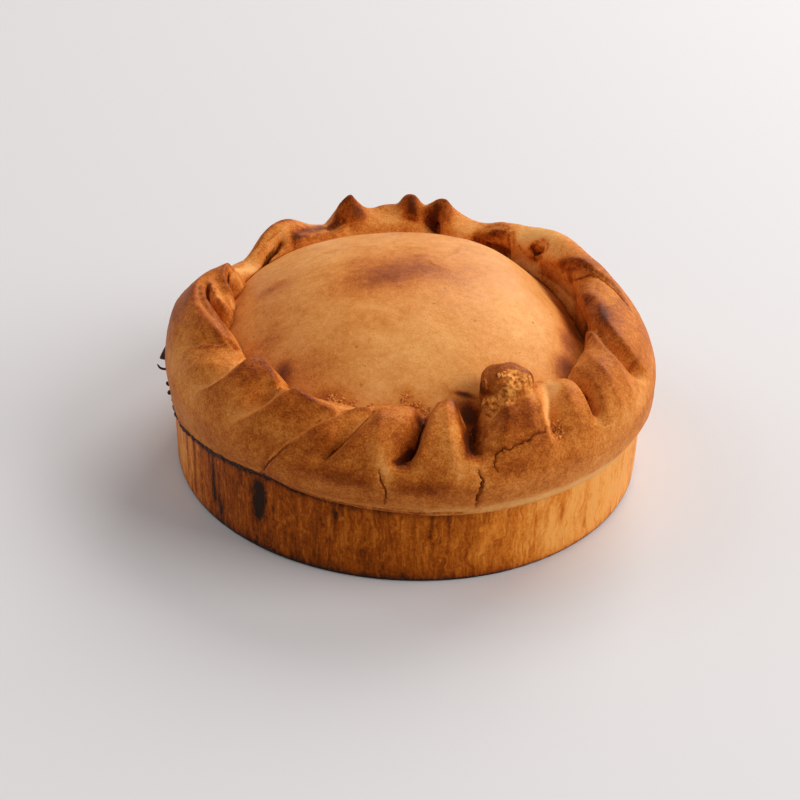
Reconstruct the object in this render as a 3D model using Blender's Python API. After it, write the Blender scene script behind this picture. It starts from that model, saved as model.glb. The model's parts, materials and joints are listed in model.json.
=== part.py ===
"""A whole chicken pie: a raised crust case with a pleated rim, and the domed lid it holds.

The case is one solid with its filling, because the pie is uncut. Its outer skin is a
turned profile whose radius and height change a little round the pie. The pleats are
relief on that skin: each fold is a crest or a crease that runs along a short path, from
the lid outwards. Standing sheets and the torn knob are closed shapes of their own, and
a voxel remesh makes one body of it all. The lid is a dome of dough whose edge is tucked
under the rim's lip.

Metres, +Z up. The origin is the middle of the flat base. Angles are in degrees, seen
from above: 0 is +X, -90 is the front (-Y).
"""

import math

import bmesh
import bpy
import numpy as np
from mathutils import Matrix, Vector, noise

# ------------------------------------------------------------------ driving dimensions
BASE_RADIUS = 0.090          # the case where it stands
WALL_TOP_RADIUS = 0.0907     # the wall just under the rim
WALL_HEIGHT = 0.0290         # mean height of the wall, up to the rim's seam
RIM_RADIUS = 0.0954          # widest part of the rim
CREST_HEIGHT = 0.0603        # top of the rim between its tallest folds
LIP_RADIUS = 0.0688          # where the rim's lip meets the lid
LIP_HEIGHT = 0.0550
LID_RADIUS = 0.0765          # the lid's hidden edge, under the lip
LID_TOP = 0.0782             # crown of the lid
LID_THICKNESS = 0.0050
GAP = 0.0003                 # between the lid and the case
RIM_GIRTH = 0.0523           # length of the rim's skin, from its seam over to the lip

VOXEL = 0.0011
SMOOTHING_STEPS = 3
CASE_FACES_KEPT = 0.034      # share of the remeshed faces that the decimation keeps
ANGLE_STEPS = 540
RIM_STEPS = 84
MM = 0.001

# The rim's skin: share of its girth from the seam (0) to the lip (1), radius, height.
RIM_SHARE = (0.0, 0.15, 0.29, 0.45, 0.62, 0.77, 0.91, 1.0)
RIM_R = (1.006, 1.050, 1.060, 1.030, 0.960, 0.880, 0.800, 0.765)
RIM_Z = (0.320, 0.400, 0.480, 0.565, 0.640, 0.670, 0.655, 0.612)

# How the skin changes round the pie: (angle, value) pairs.
SEAM_RISE = ((-160, 0.020), (-140, 0.035), (-122, 0.050), (-105, 0.020), (-88, 0.0),
             (-70, -0.015), (-55, -0.005), (-38, 0.010), (0, 0.005), (90, 0.005), (150, 0.005))
BULGE = ((180, -0.026), (-150, -0.018), (-120, -0.008), (-90, -0.004), (-50, -0.004),
         (-15, 0.0), (20, 0.0), (70, -0.006), (130, -0.016))
CROWN = ((-150, 0.000), (-120, -0.005), (-90, -0.010), (-60, 0.000), (-30, 0.005), (0, 0.005),
         (25, 0.030), (43, 0.062), (58, 0.020), (75, -0.012), (100, -0.015), (118, -0.005),
         (132, 0.045), (143, 0.010), (152, -0.045), (164, -0.015), (175, 0.020), (-165, 0.020))


# ------------------------------------------------------------------ small mathematics
def glide(x, xs, ys):
    """Monotone cubic through the knots (xs, ys)."""
    xs, ys, x = (np.asarray(q, float) for q in (xs, ys, x))
    step = np.diff(xs)
    slope = np.diff(ys) / step
    tangent = np.zeros_like(ys)
    both = slope[:-1] * slope[1:]
    mean = slope[:-1] + slope[1:]
    tangent[1:-1] = np.where(both > 0, 2 * both / np.where(mean == 0, 1, mean), 0)
    tangent[0], tangent[-1] = slope[0], slope[-1]
    i = np.clip(np.searchsorted(xs, x) - 1, 0, len(step) - 1)
    t = np.clip((x - xs[i]) / step[i], 0, 1)
    return ((2 * t**3 - 3 * t**2 + 1) * ys[i] + (t**3 - 2 * t**2 + t) * step[i] * tangent[i]
            + (3 * t**2 - 2 * t**3) * ys[i + 1] + (t**3 - t**2) * step[i] * tangent[i + 1])


def glide_round(angle, pairs):
    """Smooth periodic value of an angle in degrees."""
    pairs = sorted((a % 360, v) for a, v in pairs)
    xs = [a for a, _ in pairs]
    ys = [v for _, v in pairs]
    xs = [x - 360 for x in xs[-2:]] + xs + [x + 360 for x in xs[:2]]
    ys = ys[-2:] + ys + ys[:2]
    return glide(np.asarray(angle) % 360, xs, ys)


def spline(points, count):
    """Catmull-Rom curve through the points, `count` samples."""
    p = np.asarray(points, float)
    q = np.vstack([2 * p[0] - p[1], p, 2 * p[-1] - p[-2]])
    t = np.linspace(0, len(p) - 1, count)
    i = np.minimum(t.astype(int), len(p) - 2)
    f = (t - i)[:, None]
    a, b, c, d = q[i], q[i + 1], q[i + 2], q[i + 3]
    return 0.5 * (2 * b + (c - a) * f + (2 * a - 5 * b + 4 * c - d) * f**2
                  + (3 * b - a - 3 * c + d) * f**3)


def path_points(rows, count):
    """Spline through rows that start with an angle, taken the short way round."""
    rows = np.array(rows, float)
    rows[:, 0] = np.unwrap(rows[:, 0], period=360)
    return spline(rows, count)


def turned(angle):
    """Signed angle between -180 and 180 degrees."""
    return (angle + 180) % 360 - 180


def along(values, t):
    """Value at the share t of a fold's path, from an even list."""
    values = np.atleast_1d(np.asarray(values, float))
    return np.interp(t, np.linspace(0, 1, len(values)), values) if len(values) > 1 else values[0] + 0 * t


# ------------------------------------------------------------------ the rim's plain skin
def skin(angle, share):
    """Point of the rim's skin before its folds, in metres."""
    angle, share = np.broadcast_arrays(np.asarray(angle, float), np.asarray(share, float))
    r = glide(share, RIM_SHARE, RIM_R)
    z = glide(share, RIM_SHARE, RIM_Z)
    r = r + glide_round(angle, BULGE) * np.clip((r - 0.98) / 0.07, 0, 1)
    z = z + glide_round(angle, SEAM_RISE) * np.clip(1 - share / 0.45, 0, 1) ** 2
    z = z + glide_round(angle, CROWN) * np.exp(-(((share - 0.78) / 0.24) ** 2))
    a = np.radians(angle)
    return np.stack([r * np.cos(a), r * np.sin(a), z], -1) * BASE_RADIUS


def skin_up(angle, share):
    """Direction in which a fold stands: the skin's normal, turned upwards near the crest."""
    around = skin(angle + 0.1, share) - skin(angle - 0.1, share)
    over = skin(angle, share + 1e-3) - skin(angle, share - 1e-3)
    n = np.cross(around, over)
    n /= np.linalg.norm(n, axis=-1, keepdims=True)
    lift = np.clip((np.asarray(share) - 0.35) / 0.3, 0, 1) * 0.8
    n = n + lift[..., None] * np.array([0.0, 0.0, 1.0])
    return n / np.linalg.norm(n, axis=-1, keepdims=True)


class Fold:
    """A crest (height > 0) or crease (height < 0) of dough that follows a path on the skin.

    path    (angle, share) points from the lid outwards
    height  millimetres along the path
    right   half width in millimetres on the clockwise side, left on the other
    edge    2 is a round shoulder, 1 a sharp ridge, above 2 a flat-topped one
    """

    def __init__(self, path, height, right=4.0, left=None, edge=2.0):
        self.path = path_points(path, 40)
        self.height, self.right, self.left, self.edge = height, right, right if left is None else left, edge

    def relief(self, angle, share):
        middle = self.path[:, 0].mean()
        reach = np.ptp(self.path[:, 0]) / 2 + 22
        near = np.abs(turned(angle[:, 0] - middle)) < reach
        out = np.zeros(angle.shape)
        u = np.radians(turned(angle[near] - middle)) * 0.93 * BASE_RADIUS / MM
        v = share[near] * RIM_GIRTH / MM
        pu = np.radians(self.path[:, 0] - middle) * 0.93 * BASE_RADIUS / MM
        pv = self.path[:, 1] * RIM_GIRTH / MM
        far = (u[..., None] - pu) ** 2 + (v[..., None] - pv) ** 2
        k = far.argmin(-1)
        d = np.sqrt(np.take_along_axis(far, k[..., None], -1)[..., 0])
        du, dv = np.gradient(pu), np.gradient(pv)
        side = (u - pu[k]) * dv[k] - (v - pv[k]) * du[k]
        t = k / (len(pu) - 1)
        width = np.where(side > 0, along(self.left, t), along(self.right, t))
        out[near] = along(self.height, t) * np.exp(-((d / width) ** self.edge))
        return out


# Folds round the rim, clockwise from the left. Every pleat sweeps clockwise as it runs out.
CRESTS = (
    Fold([(-149, 0.97), (-152, 0.80), (-157, 0.62), (-163, 0.45)], (1.5, 2.5, 1.5, 0), (5, 7), (2, 3), 1.5),
    Fold([(-142, 1.02), (-141, 0.86), (-142, 0.68), (-147, 0.46)], (7, 6, 3.5, 0), (5, 6, 8), (5, 7, 8), 1.4),
    Fold([(-127, 0.93), (-127, 0.74), (-130, 0.52), (-135, 0.30)], (3.5, 3.8, 3, 0), (7, 8, 9), (2.6, 4, 7), 1.4),
    Fold([(-101, 0.86), (-105, 0.65), (-110, 0.45), (-115, 0.28)], (1.5, 3, 3, 0), (3, 4, 6), (4, 4, 5), 1.8),
    Fold([(-95, 0.92), (-97, 0.66), (-102, 0.46), (-110, 0.28)], (3, 4, 3, 0), (6, 7, 8), (2.5, 3, 6), 1.8),
    Fold([(-79.5, 0.97), (-82, 0.72), (-84, 0.48), (-86, 0.28)], (3.6, 3.6, 2.5, 0), (4.4, 5.5, 9), (4.4, 5.5, 8), 3.0),
    Fold([(-62, 1.00), (-63.5, 0.78), (-65, 0.52), (-66, 0.30)], (5, 5, 3, 0), (7.5, 8.5, 9), (6.5, 7, 9), 3.0),
    Fold([(-44, 0.97), (-48, 0.84), (-52, 0.66), (-52, 0.45)], (4, 3.5, 2.5, 0), (4, 5, 6), (3, 3, 5), 2.0),
    Fold([(-8, 1.02), (-20, 0.84), (-28, 0.64), (-38, 0.45), (-50, 0.40)], (6, 6, 5, 3, 0),
         (7, 10, 11, 10), (2.5, 4, 6, 8), 2.1),
    Fold([(16, 1.00), (4, 0.86), (-8, 0.66), (-16, 0.42)], (6, 5, 4, 0), (6, 8, 9), (2.5, 4, 7), 1.9),
    Fold([(30, 0.90), (24, 0.76), (12, 0.66), (0, 0.45)], (7, 5, 3, 0), (4, 5, 7), (3, 4, 6), 1.6),
    Fold([(38, 0.88), (30, 0.72), (20, 0.54), (8, 0.32)], (3, 3, 2, 0), (3, 4, 7, 8), (2, 3, 5, 7), 1.6),
    Fold([(62, 0.84), (56, 0.72), (44, 0.52), (34, 0.32)], (7, 5, 2, 0), (5, 7, 10, 10), (3, 4, 6, 8), 1.8),
    Fold([(76, 0.96), (70, 0.80), (60, 0.56), (52, 0.32)], (3, 3, 2.4, 0), (4, 5, 8, 9), (3, 3, 5, 7), 1.8),
    Fold([(84, 0.80), (82, 0.70)], (11, 6), 4.0, 2.6, 1.7),
    Fold([(84, 0.72), (78, 0.52), (70, 0.32)], (3, 3, 0), (5, 8, 9), (3, 5, 7), 1.8),
    Fold([(92, 0.80), (91, 0.66)], (12, 7), 3.0, 3.4, 2.2),
    Fold([(101, 0.92), (97, 0.76), (90, 0.52), (84, 0.34)], (4, 3, 2.4, 0), (5, 5, 8, 9), (5, 5, 5, 7), 2.0),
    Fold([(111, 0.82), (109, 0.72), (104, 0.58)], (12, 9, 1), (5, 5), (3.4, 4), 1.5),
    Fold([(108, 0.70), (102, 0.50), (95, 0.32)], (3, 3, 0), (6, 8, 9), (3, 5, 7), 1.8),
    Fold([(140, 0.84), (131, 0.76), (122, 0.74), (115, 0.70)], (2, 5, 3.5, 1), 5.0, 3.0, 1.8),
    Fold([(128, 0.70), (120, 0.52), (112, 0.32)], (2, 3, 0), (6, 8, 9), (3, 5, 7), 1.8),
    Fold([(146, 0.76), (139, 0.54), (131, 0.32)], (2, 3, 0), (6, 8, 9), (3, 5, 7), 1.8),
    Fold([(166, 1.00), (159, 0.84), (152, 0.60), (146, 0.36)], (4, 3, 2.4, 0), (3, 4, 7, 9), (2, 3, 5, 7), 1.8),
    Fold([(-179, 1.00), (172, 0.86), (164, 0.68)], (8, 7, 1), (3, 3.5, 5), (2.2, 3, 4), 1.8),
    Fold([(-152, 1.00), (-166, 0.87), (173, 0.70), (164, 0.52)], (3, 4.5, 5, 0), (2.4, 4, 6), (9, 10, 9), 1.8),
)
CREASES = (
    Fold([(-147, 0.92), (-144, 0.66), (-147, 0.48)], (2, 3.5, 0), (3, 3.5, 4)),
    Fold([(-131, 0.99), (-129.5, 0.80), (-131, 0.62), (-134, 0.48)], (6, 5, 3.5, 0), (2.2, 2.6, 3), (3, 4, 5), 1.6),
    Fold([(-105, 0.84), (-110, 0.61), (-114, 0.46), (-119, 0.22)], (3.4, 2.6, 2, 0.6), (1.0, 1.0), (1.6, 1.6), 1.4),
    Fold([(-98, 0.84), (-102, 0.58), (-106, 0.40)], (2.5, 3.6, 0), (1.2, 1.6), (2.2, 3), 1.5),
    Fold([(-84, 1.00), (-86, 0.74), (-89, 0.50), (-91, 0.40)], (9, 10, 9, 3), (3.6, 3.2, 3.4, 3), (2.2, 2, 2), 2.4),
    Fold([(-72, 1.00), (-73, 0.80), (-74, 0.60), (-74, 0.44)], (12, 13, 10, 0), (4.2, 4, 3), (3.4, 3, 2), 2.4),
    Fold([(-51.5, 0.98), (-54, 0.76), (-56, 0.56)], (7, 5, 1.5), (1.6, 2, 3), (1.6, 2, 3), 1.8),
    Fold([(-39, 0.90), (-41.5, 0.78), (-44, 0.66), (-42, 0.54)], (4, 6, 5.5, 1), (2.6, 2.8, 2.2), (1.8, 1.8), 2.2),
    Fold([(-3, 0.96), (-14, 0.76), (-20, 0.60), (-16, 0.44)], (9, 9, 7, 2), (2.6, 2.6, 3), (3.5, 5, 5), 2.2),
    Fold([(20, 0.94), (11, 0.78), (2, 0.62)], (7, 4, 0), (2.4, 3), (3, 3.4), 2.0),
    Fold([(34, 1.00), (29, 0.92), (20, 0.80)], (9, 7, 1), (3, 3), (4, 3), 2.0),
    Fold([(52, 1.00), (48, 0.92)], (6, 4), 5.0, 4.0, 2.2),
    Fold([(69, 1.00), (64, 0.90), (60, 0.82)], (10, 10, 4), (4.5, 4), (4, 4), 2.4),
    Fold([(88, 0.92), (88, 0.82)], (9, 7), 2.4, 2.4, 2.2),
    Fold([(106, 0.96), (103, 0.84)], (5, 4), 3.0, 3.0, 2.0),
    Fold([(122, 0.98), (118, 0.90)], (4, 3), 4.0, 5.0, 2.0),
    Fold([(143, 0.97), (135, 0.94), (127, 0.93)], (8, 8, 4), 3.0, 3.0, 2.2),
    Fold([(154, 1.00), (148, 0.80), (142, 0.66)], (5, 4, 0), (3, 4), (3, 4), 2.0),
    Fold([(173, 1.00), (166, 0.86), (158, 0.70)], (7, 6, 1), (2.4, 3), (2.4, 3), 2.0),
    Fold([(-170, 1.00), (-178, 0.86), (168, 0.70)], (8, 8, 3), (2.4, 3, 3), (2.4, 2.6), 2.0),
    Fold([(-153, 0.99), (-166, 0.925), (-178, 0.80)], (2.0, 2.4, 2.0), 0.9, 0.9, 1.6),
)


# ------------------------------------------------------------------ meshes
def add_mesh(name, verts, faces):
    """Object from points and faces, faces turned outwards."""
    mesh = bpy.data.meshes.new(name)
    mesh.from_pydata([tuple(map(float, v)) for v in verts], [], [tuple(map(int, f)) for f in faces])
    bm = bmesh.new()
    bm.from_mesh(mesh)
    bmesh.ops.recalc_face_normals(bm, faces=bm.faces)
    bm.to_mesh(mesh)
    bm.free()
    obj = bpy.data.objects.new(name, mesh)
    bpy.context.scene.collection.objects.link(obj)
    return obj


def quads(rows, columns, closed_rows, closed_columns):
    """Faces of a grid of rows x columns points."""
    n = rows if closed_rows else rows - 1
    m = columns if closed_columns else columns - 1
    i, j = np.meshgrid(np.arange(n), np.arange(m), indexing="ij")
    i2, j2 = (i + 1) % rows, (j + 1) % columns
    return np.stack([i * columns + j, i2 * columns + j, i2 * columns + j2, i * columns + j2],
                    -1).reshape(-1, 4).tolist()


def turned_body(name, sections):
    """Closed body from one half profile per angle; every profile starts and ends on the axis."""
    count, m, _ = sections.shape
    k = m - 2
    verts = sections[:, 1:-1].reshape(-1, 3).tolist()
    verts += [sections[:, 0].mean(0), sections[:, -1].mean(0)]
    faces = quads(count, k, True, False)
    foot, top = count * k, count * k + 1
    for i in range(count):
        j = (i + 1) % count
        faces += [(foot, j * k, i * k), (top, i * k + k - 1, j * k + k - 1)]
    return add_mesh(name, verts, faces)


def lofted(name, rings):
    """Closed body through rings of points, capped at both ends."""
    n, m, _ = rings.shape
    verts = rings.reshape(-1, 3).tolist() + [rings[0].mean(0), rings[-1].mean(0)]
    faces = quads(n, m, False, True)
    for j in range(m):
        k = (j + 1) % m
        faces += [(n * m, j, k), (n * m + 1, (n - 1) * m + k, (n - 1) * m + j)]
    return add_mesh(name, verts, faces)


def lid_height(r):
    """Height of the lid's upper side at a radius."""
    return LID_TOP - (LID_TOP - LIP_HEIGHT) * (np.asarray(r) / LIP_RADIUS) ** 2.45


def case_body():
    """The wall, the folded rim and the filling's top as one turned body."""
    angle, share = np.meshgrid(np.linspace(0, 360, ANGLE_STEPS, endpoint=False),
                               np.linspace(0, 1, RIM_STEPS), indexing="ij")
    rise = sum(f.relief(angle, share) for f in CRESTS)
    sink = np.max([f.relief(angle, share) for f in CREASES], axis=0)
    rim = skin(angle, share) + skin_up(angle, share) * ((rise - sink) * MM)[..., None]
    a = np.radians(angle[:, :1])
    ring = np.concatenate([np.cos(a), np.sin(a)], 1)[:, None, :]
    seam = (glide_round(angle[:, 0], SEAM_RISE) + RIM_Z[0]) * BASE_RADIUS
    wall = ((0.0, -3 * MM), (0.5 * BASE_RADIUS, -3 * MM), (0.94 * BASE_RADIUS, -3 * MM),
            (BASE_RADIUS, -3 * MM), (BASE_RADIUS, 0.0), (BASE_RADIUS, 0.3 * WALL_HEIGHT),
            (WALL_TOP_RADIUS, 0.7 * WALL_HEIGHT))
    parts = [np.concatenate([ring * r, np.full(ring.shape[:2] + (1,), z)], 2) for r, z in wall]
    parts.append(np.concatenate([ring * WALL_TOP_RADIUS, (seam - 1.4 * MM)[:, None, None]], 2))
    parts.append(rim)
    for r in (0.068, 0.060, 0.040, 0.020, 0.0):
        z = lid_height(r) - LID_THICKNESS / 2
        parts.append(np.concatenate([ring * r, np.full(ring.shape[:2] + (1,), z)], 2))
    return turned_body("crust_case", np.concatenate(parts, 1))


def standing_sheet(path, thickness, foot, lean=0.0):
    """Upright sheet of dough. path rows: (angle, radius share, top height share)."""
    p = path_points(path, 48)
    a = np.radians(p[:, 0])
    line = np.stack([p[:, 1] * np.cos(a), p[:, 1] * np.sin(a), 0 * a], -1) * BASE_RADIUS
    t = np.gradient(line, axis=0)
    t /= np.linalg.norm(t, axis=1, keepdims=True)
    side = np.stack([t[:, 1], -t[:, 0], 0 * a], -1)
    u = np.linspace(0, 1, len(p))
    ends = np.sqrt(np.clip(1 - np.clip(1 - np.minimum(u, 1 - u) / 0.08, 0, 1) ** 2, 0, 1))
    rings = []
    for i in range(len(p)):
        h = thickness * MM / 2 * max(ends[i], 0.15)
        top = p[i, 2] * BASE_RADIUS - h
        rows = [(h, foot + (top - foot) * q) for q in (0.0, 0.5)]
        rows += [(h * math.cos(w), top + h * math.sin(w)) for w in np.linspace(0, math.pi, 7)]
        rows += [(-h, foot + (top - foot) * q) for q in (0.5, 0.0)]
        inward = -np.array([math.cos(a[i]), math.sin(a[i]), 0.0])
        rings.append([line[i] + side[i] * x + inward * lean * max(0.0, z - foot) + np.array([0, 0, z])
                      for x, z in rows])
    return lofted("sheet", np.array(rings))


def roll(angle, radius, height, size, tube, tilt):
    """Rolled curl of dough: a ring with a small hole, tilted inwards."""
    steps, tube_steps = 32, 12
    rings = []
    for i in range(steps):
        w = 2 * math.pi * i / steps
        rings.append([((size[0] + tube * math.cos(q)) * math.cos(w), (size[1] + tube * math.cos(q)) * math.sin(w),
                       tube * math.sin(q)) for q in np.linspace(0, 2 * math.pi, tube_steps, endpoint=False)])
    verts = np.array(rings).reshape(-1, 3) * MM
    obj = add_mesh("roll", verts, quads(steps, tube_steps, True, True))
    place = (Matrix.Rotation(math.radians(angle), 4, "Z")
             @ Matrix.Translation((radius * BASE_RADIUS, 0, height * BASE_RADIUS))
             @ Matrix.Rotation(math.radians(tilt), 4, "Y"))
    obj.data.transform(place)
    return obj


def knob(angle, radius, height, half, seed=3.0, rough=0.12, square=2.6):
    """Torn end of a thick pleat: a squarish rounded lump."""
    bm = bmesh.new()
    bmesh.ops.create_icosphere(bm, subdivisions=4, radius=1.0)
    for v in bm.verts:
        d = v.co.normalized()
        size = (abs(d.x) ** square + abs(d.y) ** square + abs(d.z) ** square) ** (-1 / square)
        v.co = d * size * (1 + rough * noise.noise(d * 1.9 + Vector((seed, 2 * seed, 0))))
    mesh = bpy.data.meshes.new("knob")
    bm.to_mesh(mesh)
    bm.free()
    obj = bpy.data.objects.new("knob", mesh)
    bpy.context.scene.collection.objects.link(obj)
    mesh.transform(Matrix.Rotation(math.radians(angle), 4, "Z")
                   @ Matrix.Translation((radius * BASE_RADIUS, 0, height * BASE_RADIUS))
                   @ Matrix.Diagonal((half[0] * MM, half[1] * MM, half[2] * MM, 1)))
    return obj


def rim_extras():
    """Sheets, curls and the knob that stand free of the rim's skin."""
    return [
        knob(-61.5, 0.795, 0.706, (9.5, 9.8, 8.4)),
        standing_sheet([(-157, 0.80, 0.66), (-170, 0.83, 0.71), (176, 0.88, 0.735), (168, 0.93, 0.70)],
                       3.2, 0.045, 0.10),
        standing_sheet([(178, 0.78, 0.66), (170, 0.85, 0.72), (162, 0.92, 0.70), (157, 0.97, 0.62)],
                       3.6, 0.045, 0.05),
        standing_sheet([(152, 0.80, 0.62), (143, 0.85, 0.69), (133, 0.90, 0.76), (123, 0.90, 0.73),
                        (114, 0.89, 0.69)], 3.6, 0.045, 0.12),
        standing_sheet([(56, 0.78, 0.66), (60, 0.83, 0.73), (63, 0.90, 0.74), (58, 0.95, 0.70)],
                       3.4, 0.045, 0.05),
        roll(44, 0.845, 0.700, (4.6, 5.4), 2.5, -40),
    ]


def lid_body(name, grow=0.0, angle_steps=60, ring_steps=8):
    """The domed lid, grown by `grow` all round for its cutter."""
    a = np.linspace(0, 2 * math.pi, angle_steps, endpoint=False)
    r = np.sqrt(np.linspace(0, 1, ring_steps)) * (LID_RADIUS + grow)
    under = np.stack([r, lid_height(r) - LID_THICKNESS - grow], -1)
    over = np.stack([r, lid_height(r) + grow], -1)[::-1]
    profile = np.concatenate([under, over])
    sections = np.stack([np.concatenate([np.outer(profile[:, 0], [math.cos(w), math.sin(w)]),
                                         profile[:, 1:]], 1) for w in a])
    return turned_body(name, sections)


# ------------------------------------------------------------------ finishing
def principled(name, colour, roughness):
    """Material with a Principled BSDF."""
    mat = bpy.data.materials.new(name)
    mat.use_nodes = True
    shader = mat.node_tree.nodes["Principled BSDF"]
    shader.inputs["Base Color"].default_value = (*colour, 1.0)
    shader.inputs["Roughness"].default_value = roughness
    shader.inputs["Metallic"].default_value = 0.0
    return mat


def merge(objects):
    """One object with every mesh in it."""
    bm = bmesh.new()
    for obj in objects:
        bm.from_mesh(obj.data)
    bm.to_mesh(objects[0].data)
    bm.free()
    for obj in objects[1:]:
        bpy.data.objects.remove(obj)
    return objects[0]


def as_cutter(obj):
    obj.hide_render = True
    obj.display_type = "WIRE"
    return obj


def cut(obj, cutter):
    mod = obj.modifiers.new("cut " + cutter.name, "BOOLEAN")
    mod.operation = "DIFFERENCE"
    mod.object = cutter
    mod.solver = "EXACT"


def build():
    for obj in list(bpy.data.objects):
        bpy.data.objects.remove(obj)

    case = merge([case_body(), *rim_extras()])
    case.name = case.data.name = "crust_case"
    remesh = case.modifiers.new("one body", "REMESH")
    remesh.mode = "VOXEL"
    remesh.voxel_size = VOXEL
    soften = case.modifiers.new("soften", "SMOOTH")
    soften.factor = 0.5
    soften.iterations = SMOOTHING_STEPS
    fewer = case.modifiers.new("fewer faces", "DECIMATE")
    fewer.ratio = CASE_FACES_KEPT
    cut(case, as_cutter(lid_body("lid_space", GAP)))
    bpy.ops.mesh.primitive_cube_add(size=1.0, location=(0, 0, -0.01))
    table = bpy.context.object
    table.name = "base_plane"
    table.data.transform(Matrix.Diagonal((0.3, 0.3, 0.02, 1)))
    cut(case, as_cutter(table))

    lid = lid_body("crust_lid")
    case.data.materials.append(principled("baked rim", (0.30, 0.125, 0.035), 0.55))
    lid.data.materials.append(principled("baked lid", (0.62, 0.31, 0.105), 0.5))
    for obj in (case, lid):
        obj.data.shade_smooth()


build()
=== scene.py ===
"""A whole chicken pie: the finished pastry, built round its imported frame.

The pie is six pieces: the straight side wall of the raised case, the hand-pleated rim, the
domed lid tucked under the rim's lip, the burnt juice and the burnt flakes under the rim, and
loose crumbs. Lengths are metres unless a name says otherwise, +Z is up, and angles are
degrees seen from above: 0 is +X and -90 is the front.
"""

import json
import logging
import math
from dataclasses import dataclass, fields, replace
from enum import Enum
from functools import cached_property, reduce
from typing import Optional, Sequence

import bmesh
import bpy
import numpy as np
from bpy.types import Material, Mesh, Node, NodeOutputs, NodeSocket, NodeTree, Object
from mathutils import Matrix, Quaternion, Vector, noise
from mathutils.bvhtree import BVHTree

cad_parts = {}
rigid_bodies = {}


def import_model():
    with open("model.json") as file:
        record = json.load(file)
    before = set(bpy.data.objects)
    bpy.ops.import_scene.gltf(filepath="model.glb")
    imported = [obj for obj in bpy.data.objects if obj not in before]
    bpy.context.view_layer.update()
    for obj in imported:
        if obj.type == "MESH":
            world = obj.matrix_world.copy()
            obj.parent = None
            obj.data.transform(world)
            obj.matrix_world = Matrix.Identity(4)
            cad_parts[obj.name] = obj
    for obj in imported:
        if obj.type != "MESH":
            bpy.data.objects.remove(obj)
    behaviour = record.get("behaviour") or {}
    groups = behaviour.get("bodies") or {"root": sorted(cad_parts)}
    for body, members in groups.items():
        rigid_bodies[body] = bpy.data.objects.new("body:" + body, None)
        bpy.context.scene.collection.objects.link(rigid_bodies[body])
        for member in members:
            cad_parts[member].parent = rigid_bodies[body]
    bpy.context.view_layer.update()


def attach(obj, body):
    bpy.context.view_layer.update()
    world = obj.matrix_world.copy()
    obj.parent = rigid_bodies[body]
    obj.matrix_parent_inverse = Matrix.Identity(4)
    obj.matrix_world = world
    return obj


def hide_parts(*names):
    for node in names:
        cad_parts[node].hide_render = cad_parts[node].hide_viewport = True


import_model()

log = logging.getLogger("chicken_pie")

MM = 0.001
BASE_RADIUS = 0.090
GAP = 0.0003
BODY = "root"
UP = np.array([0.0, 0.0, 1.0])
Array = np.ndarray
Pair = tuple[float, float]
Triple = tuple[float, float, float]


class Bake(Enum):
    """How far a place on the pastry has browned, with its colour in linear light."""

    FLOUR = (0.84, 0.42, 0.13)
    PALE = (0.78, 0.34, 0.095)
    GOLDEN = (0.68, 0.25, 0.052)
    AMBER = (0.56, 0.165, 0.024)
    BROWN = (0.38, 0.088, 0.011)
    DARK = (0.250, 0.048, 0.005)
    BURNT = (0.165, 0.027, 0.003)
    SCORCHED = (0.090, 0.019, 0.006)
    CHAR = (0.022, 0.009, 0.007)
    HONEY = (0.86, 0.37, 0.075)
    FRIED = (0.68, 0.20, 0.020)
    CARAMEL = (0.36, 0.072, 0.004)
    TREACLE = (0.12, 0.022, 0.003)

    def rgba(self) -> tuple[float, float, float, float]:
        """Colour with an opaque alpha."""
        return (*self.value, 1.0)


# --------------------------------------------------------------------------- mathematics
def glide(x: Array, xs: Sequence[float], ys: Sequence[float]) -> Array:
    """Monotone cubic through knots.

    Args:
        x: Places to read the curve at.
        xs: Rising knot places.
        ys: Knot values.

    Returns:
        The curve's values at x.
    """
    xs, ys, x = (np.asarray(q, float) for q in (xs, ys, x))
    step = np.diff(xs)
    slope = np.diff(ys) / step
    tangent = np.zeros_like(ys)
    both, total = slope[:-1] * slope[1:], slope[:-1] + slope[1:]
    tangent[1:-1] = np.where(both > 0, 2 * both / np.where(total == 0, 1, total), 0)
    tangent[0], tangent[-1] = slope[0], slope[-1]
    i = np.clip(np.searchsorted(xs, x) - 1, 0, len(step) - 1)
    t = np.clip((x - xs[i]) / step[i], 0, 1)
    return (
        (2 * t**3 - 3 * t**2 + 1) * ys[i]
        + (t**3 - 2 * t**2 + t) * step[i] * tangent[i]
        + (3 * t**2 - 2 * t**3) * ys[i + 1]
        + (t**3 - t**2) * step[i] * tangent[i + 1]
    )


def glide_round(angle: Array, pairs: Sequence[Pair]) -> Array:
    """Smooth periodic value of an angle.

    Args:
        angle: Degrees.
        pairs: (angle, value) knots in any order.

    Returns:
        Values at the angles.
    """
    rows = sorted((a % 360, v) for a, v in pairs)
    xs, ys = [a for a, _ in rows], [v for _, v in rows]
    xs = [x - 360 for x in xs[-2:]] + xs + [x + 360 for x in xs[:2]]
    return glide(np.asarray(angle) % 360, xs, ys[-2:] + ys + ys[:2])


def spline(points: Sequence[Sequence[float]], count: int) -> Array:
    """Catmull-Rom curve.

    Args:
        points: Points that the curve passes through.
        count: Number of samples.

    Returns:
        Array of samples, one row each.
    """
    p = np.asarray(points, float)
    q = np.vstack([2 * p[0] - p[1], p, 2 * p[-1] - p[-2]])
    t = np.linspace(0, len(p) - 1, count)
    i = np.minimum(t.astype(int), len(p) - 2)
    f = (t - i)[:, None]
    a, b, c, d = q[i], q[i + 1], q[i + 2], q[i + 3]
    return 0.5 * (2 * b + (c - a) * f + (2 * a - 5 * b + 4 * c - d) * f**2 + (3 * b - a - 3 * c + d) * f**3)


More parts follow.
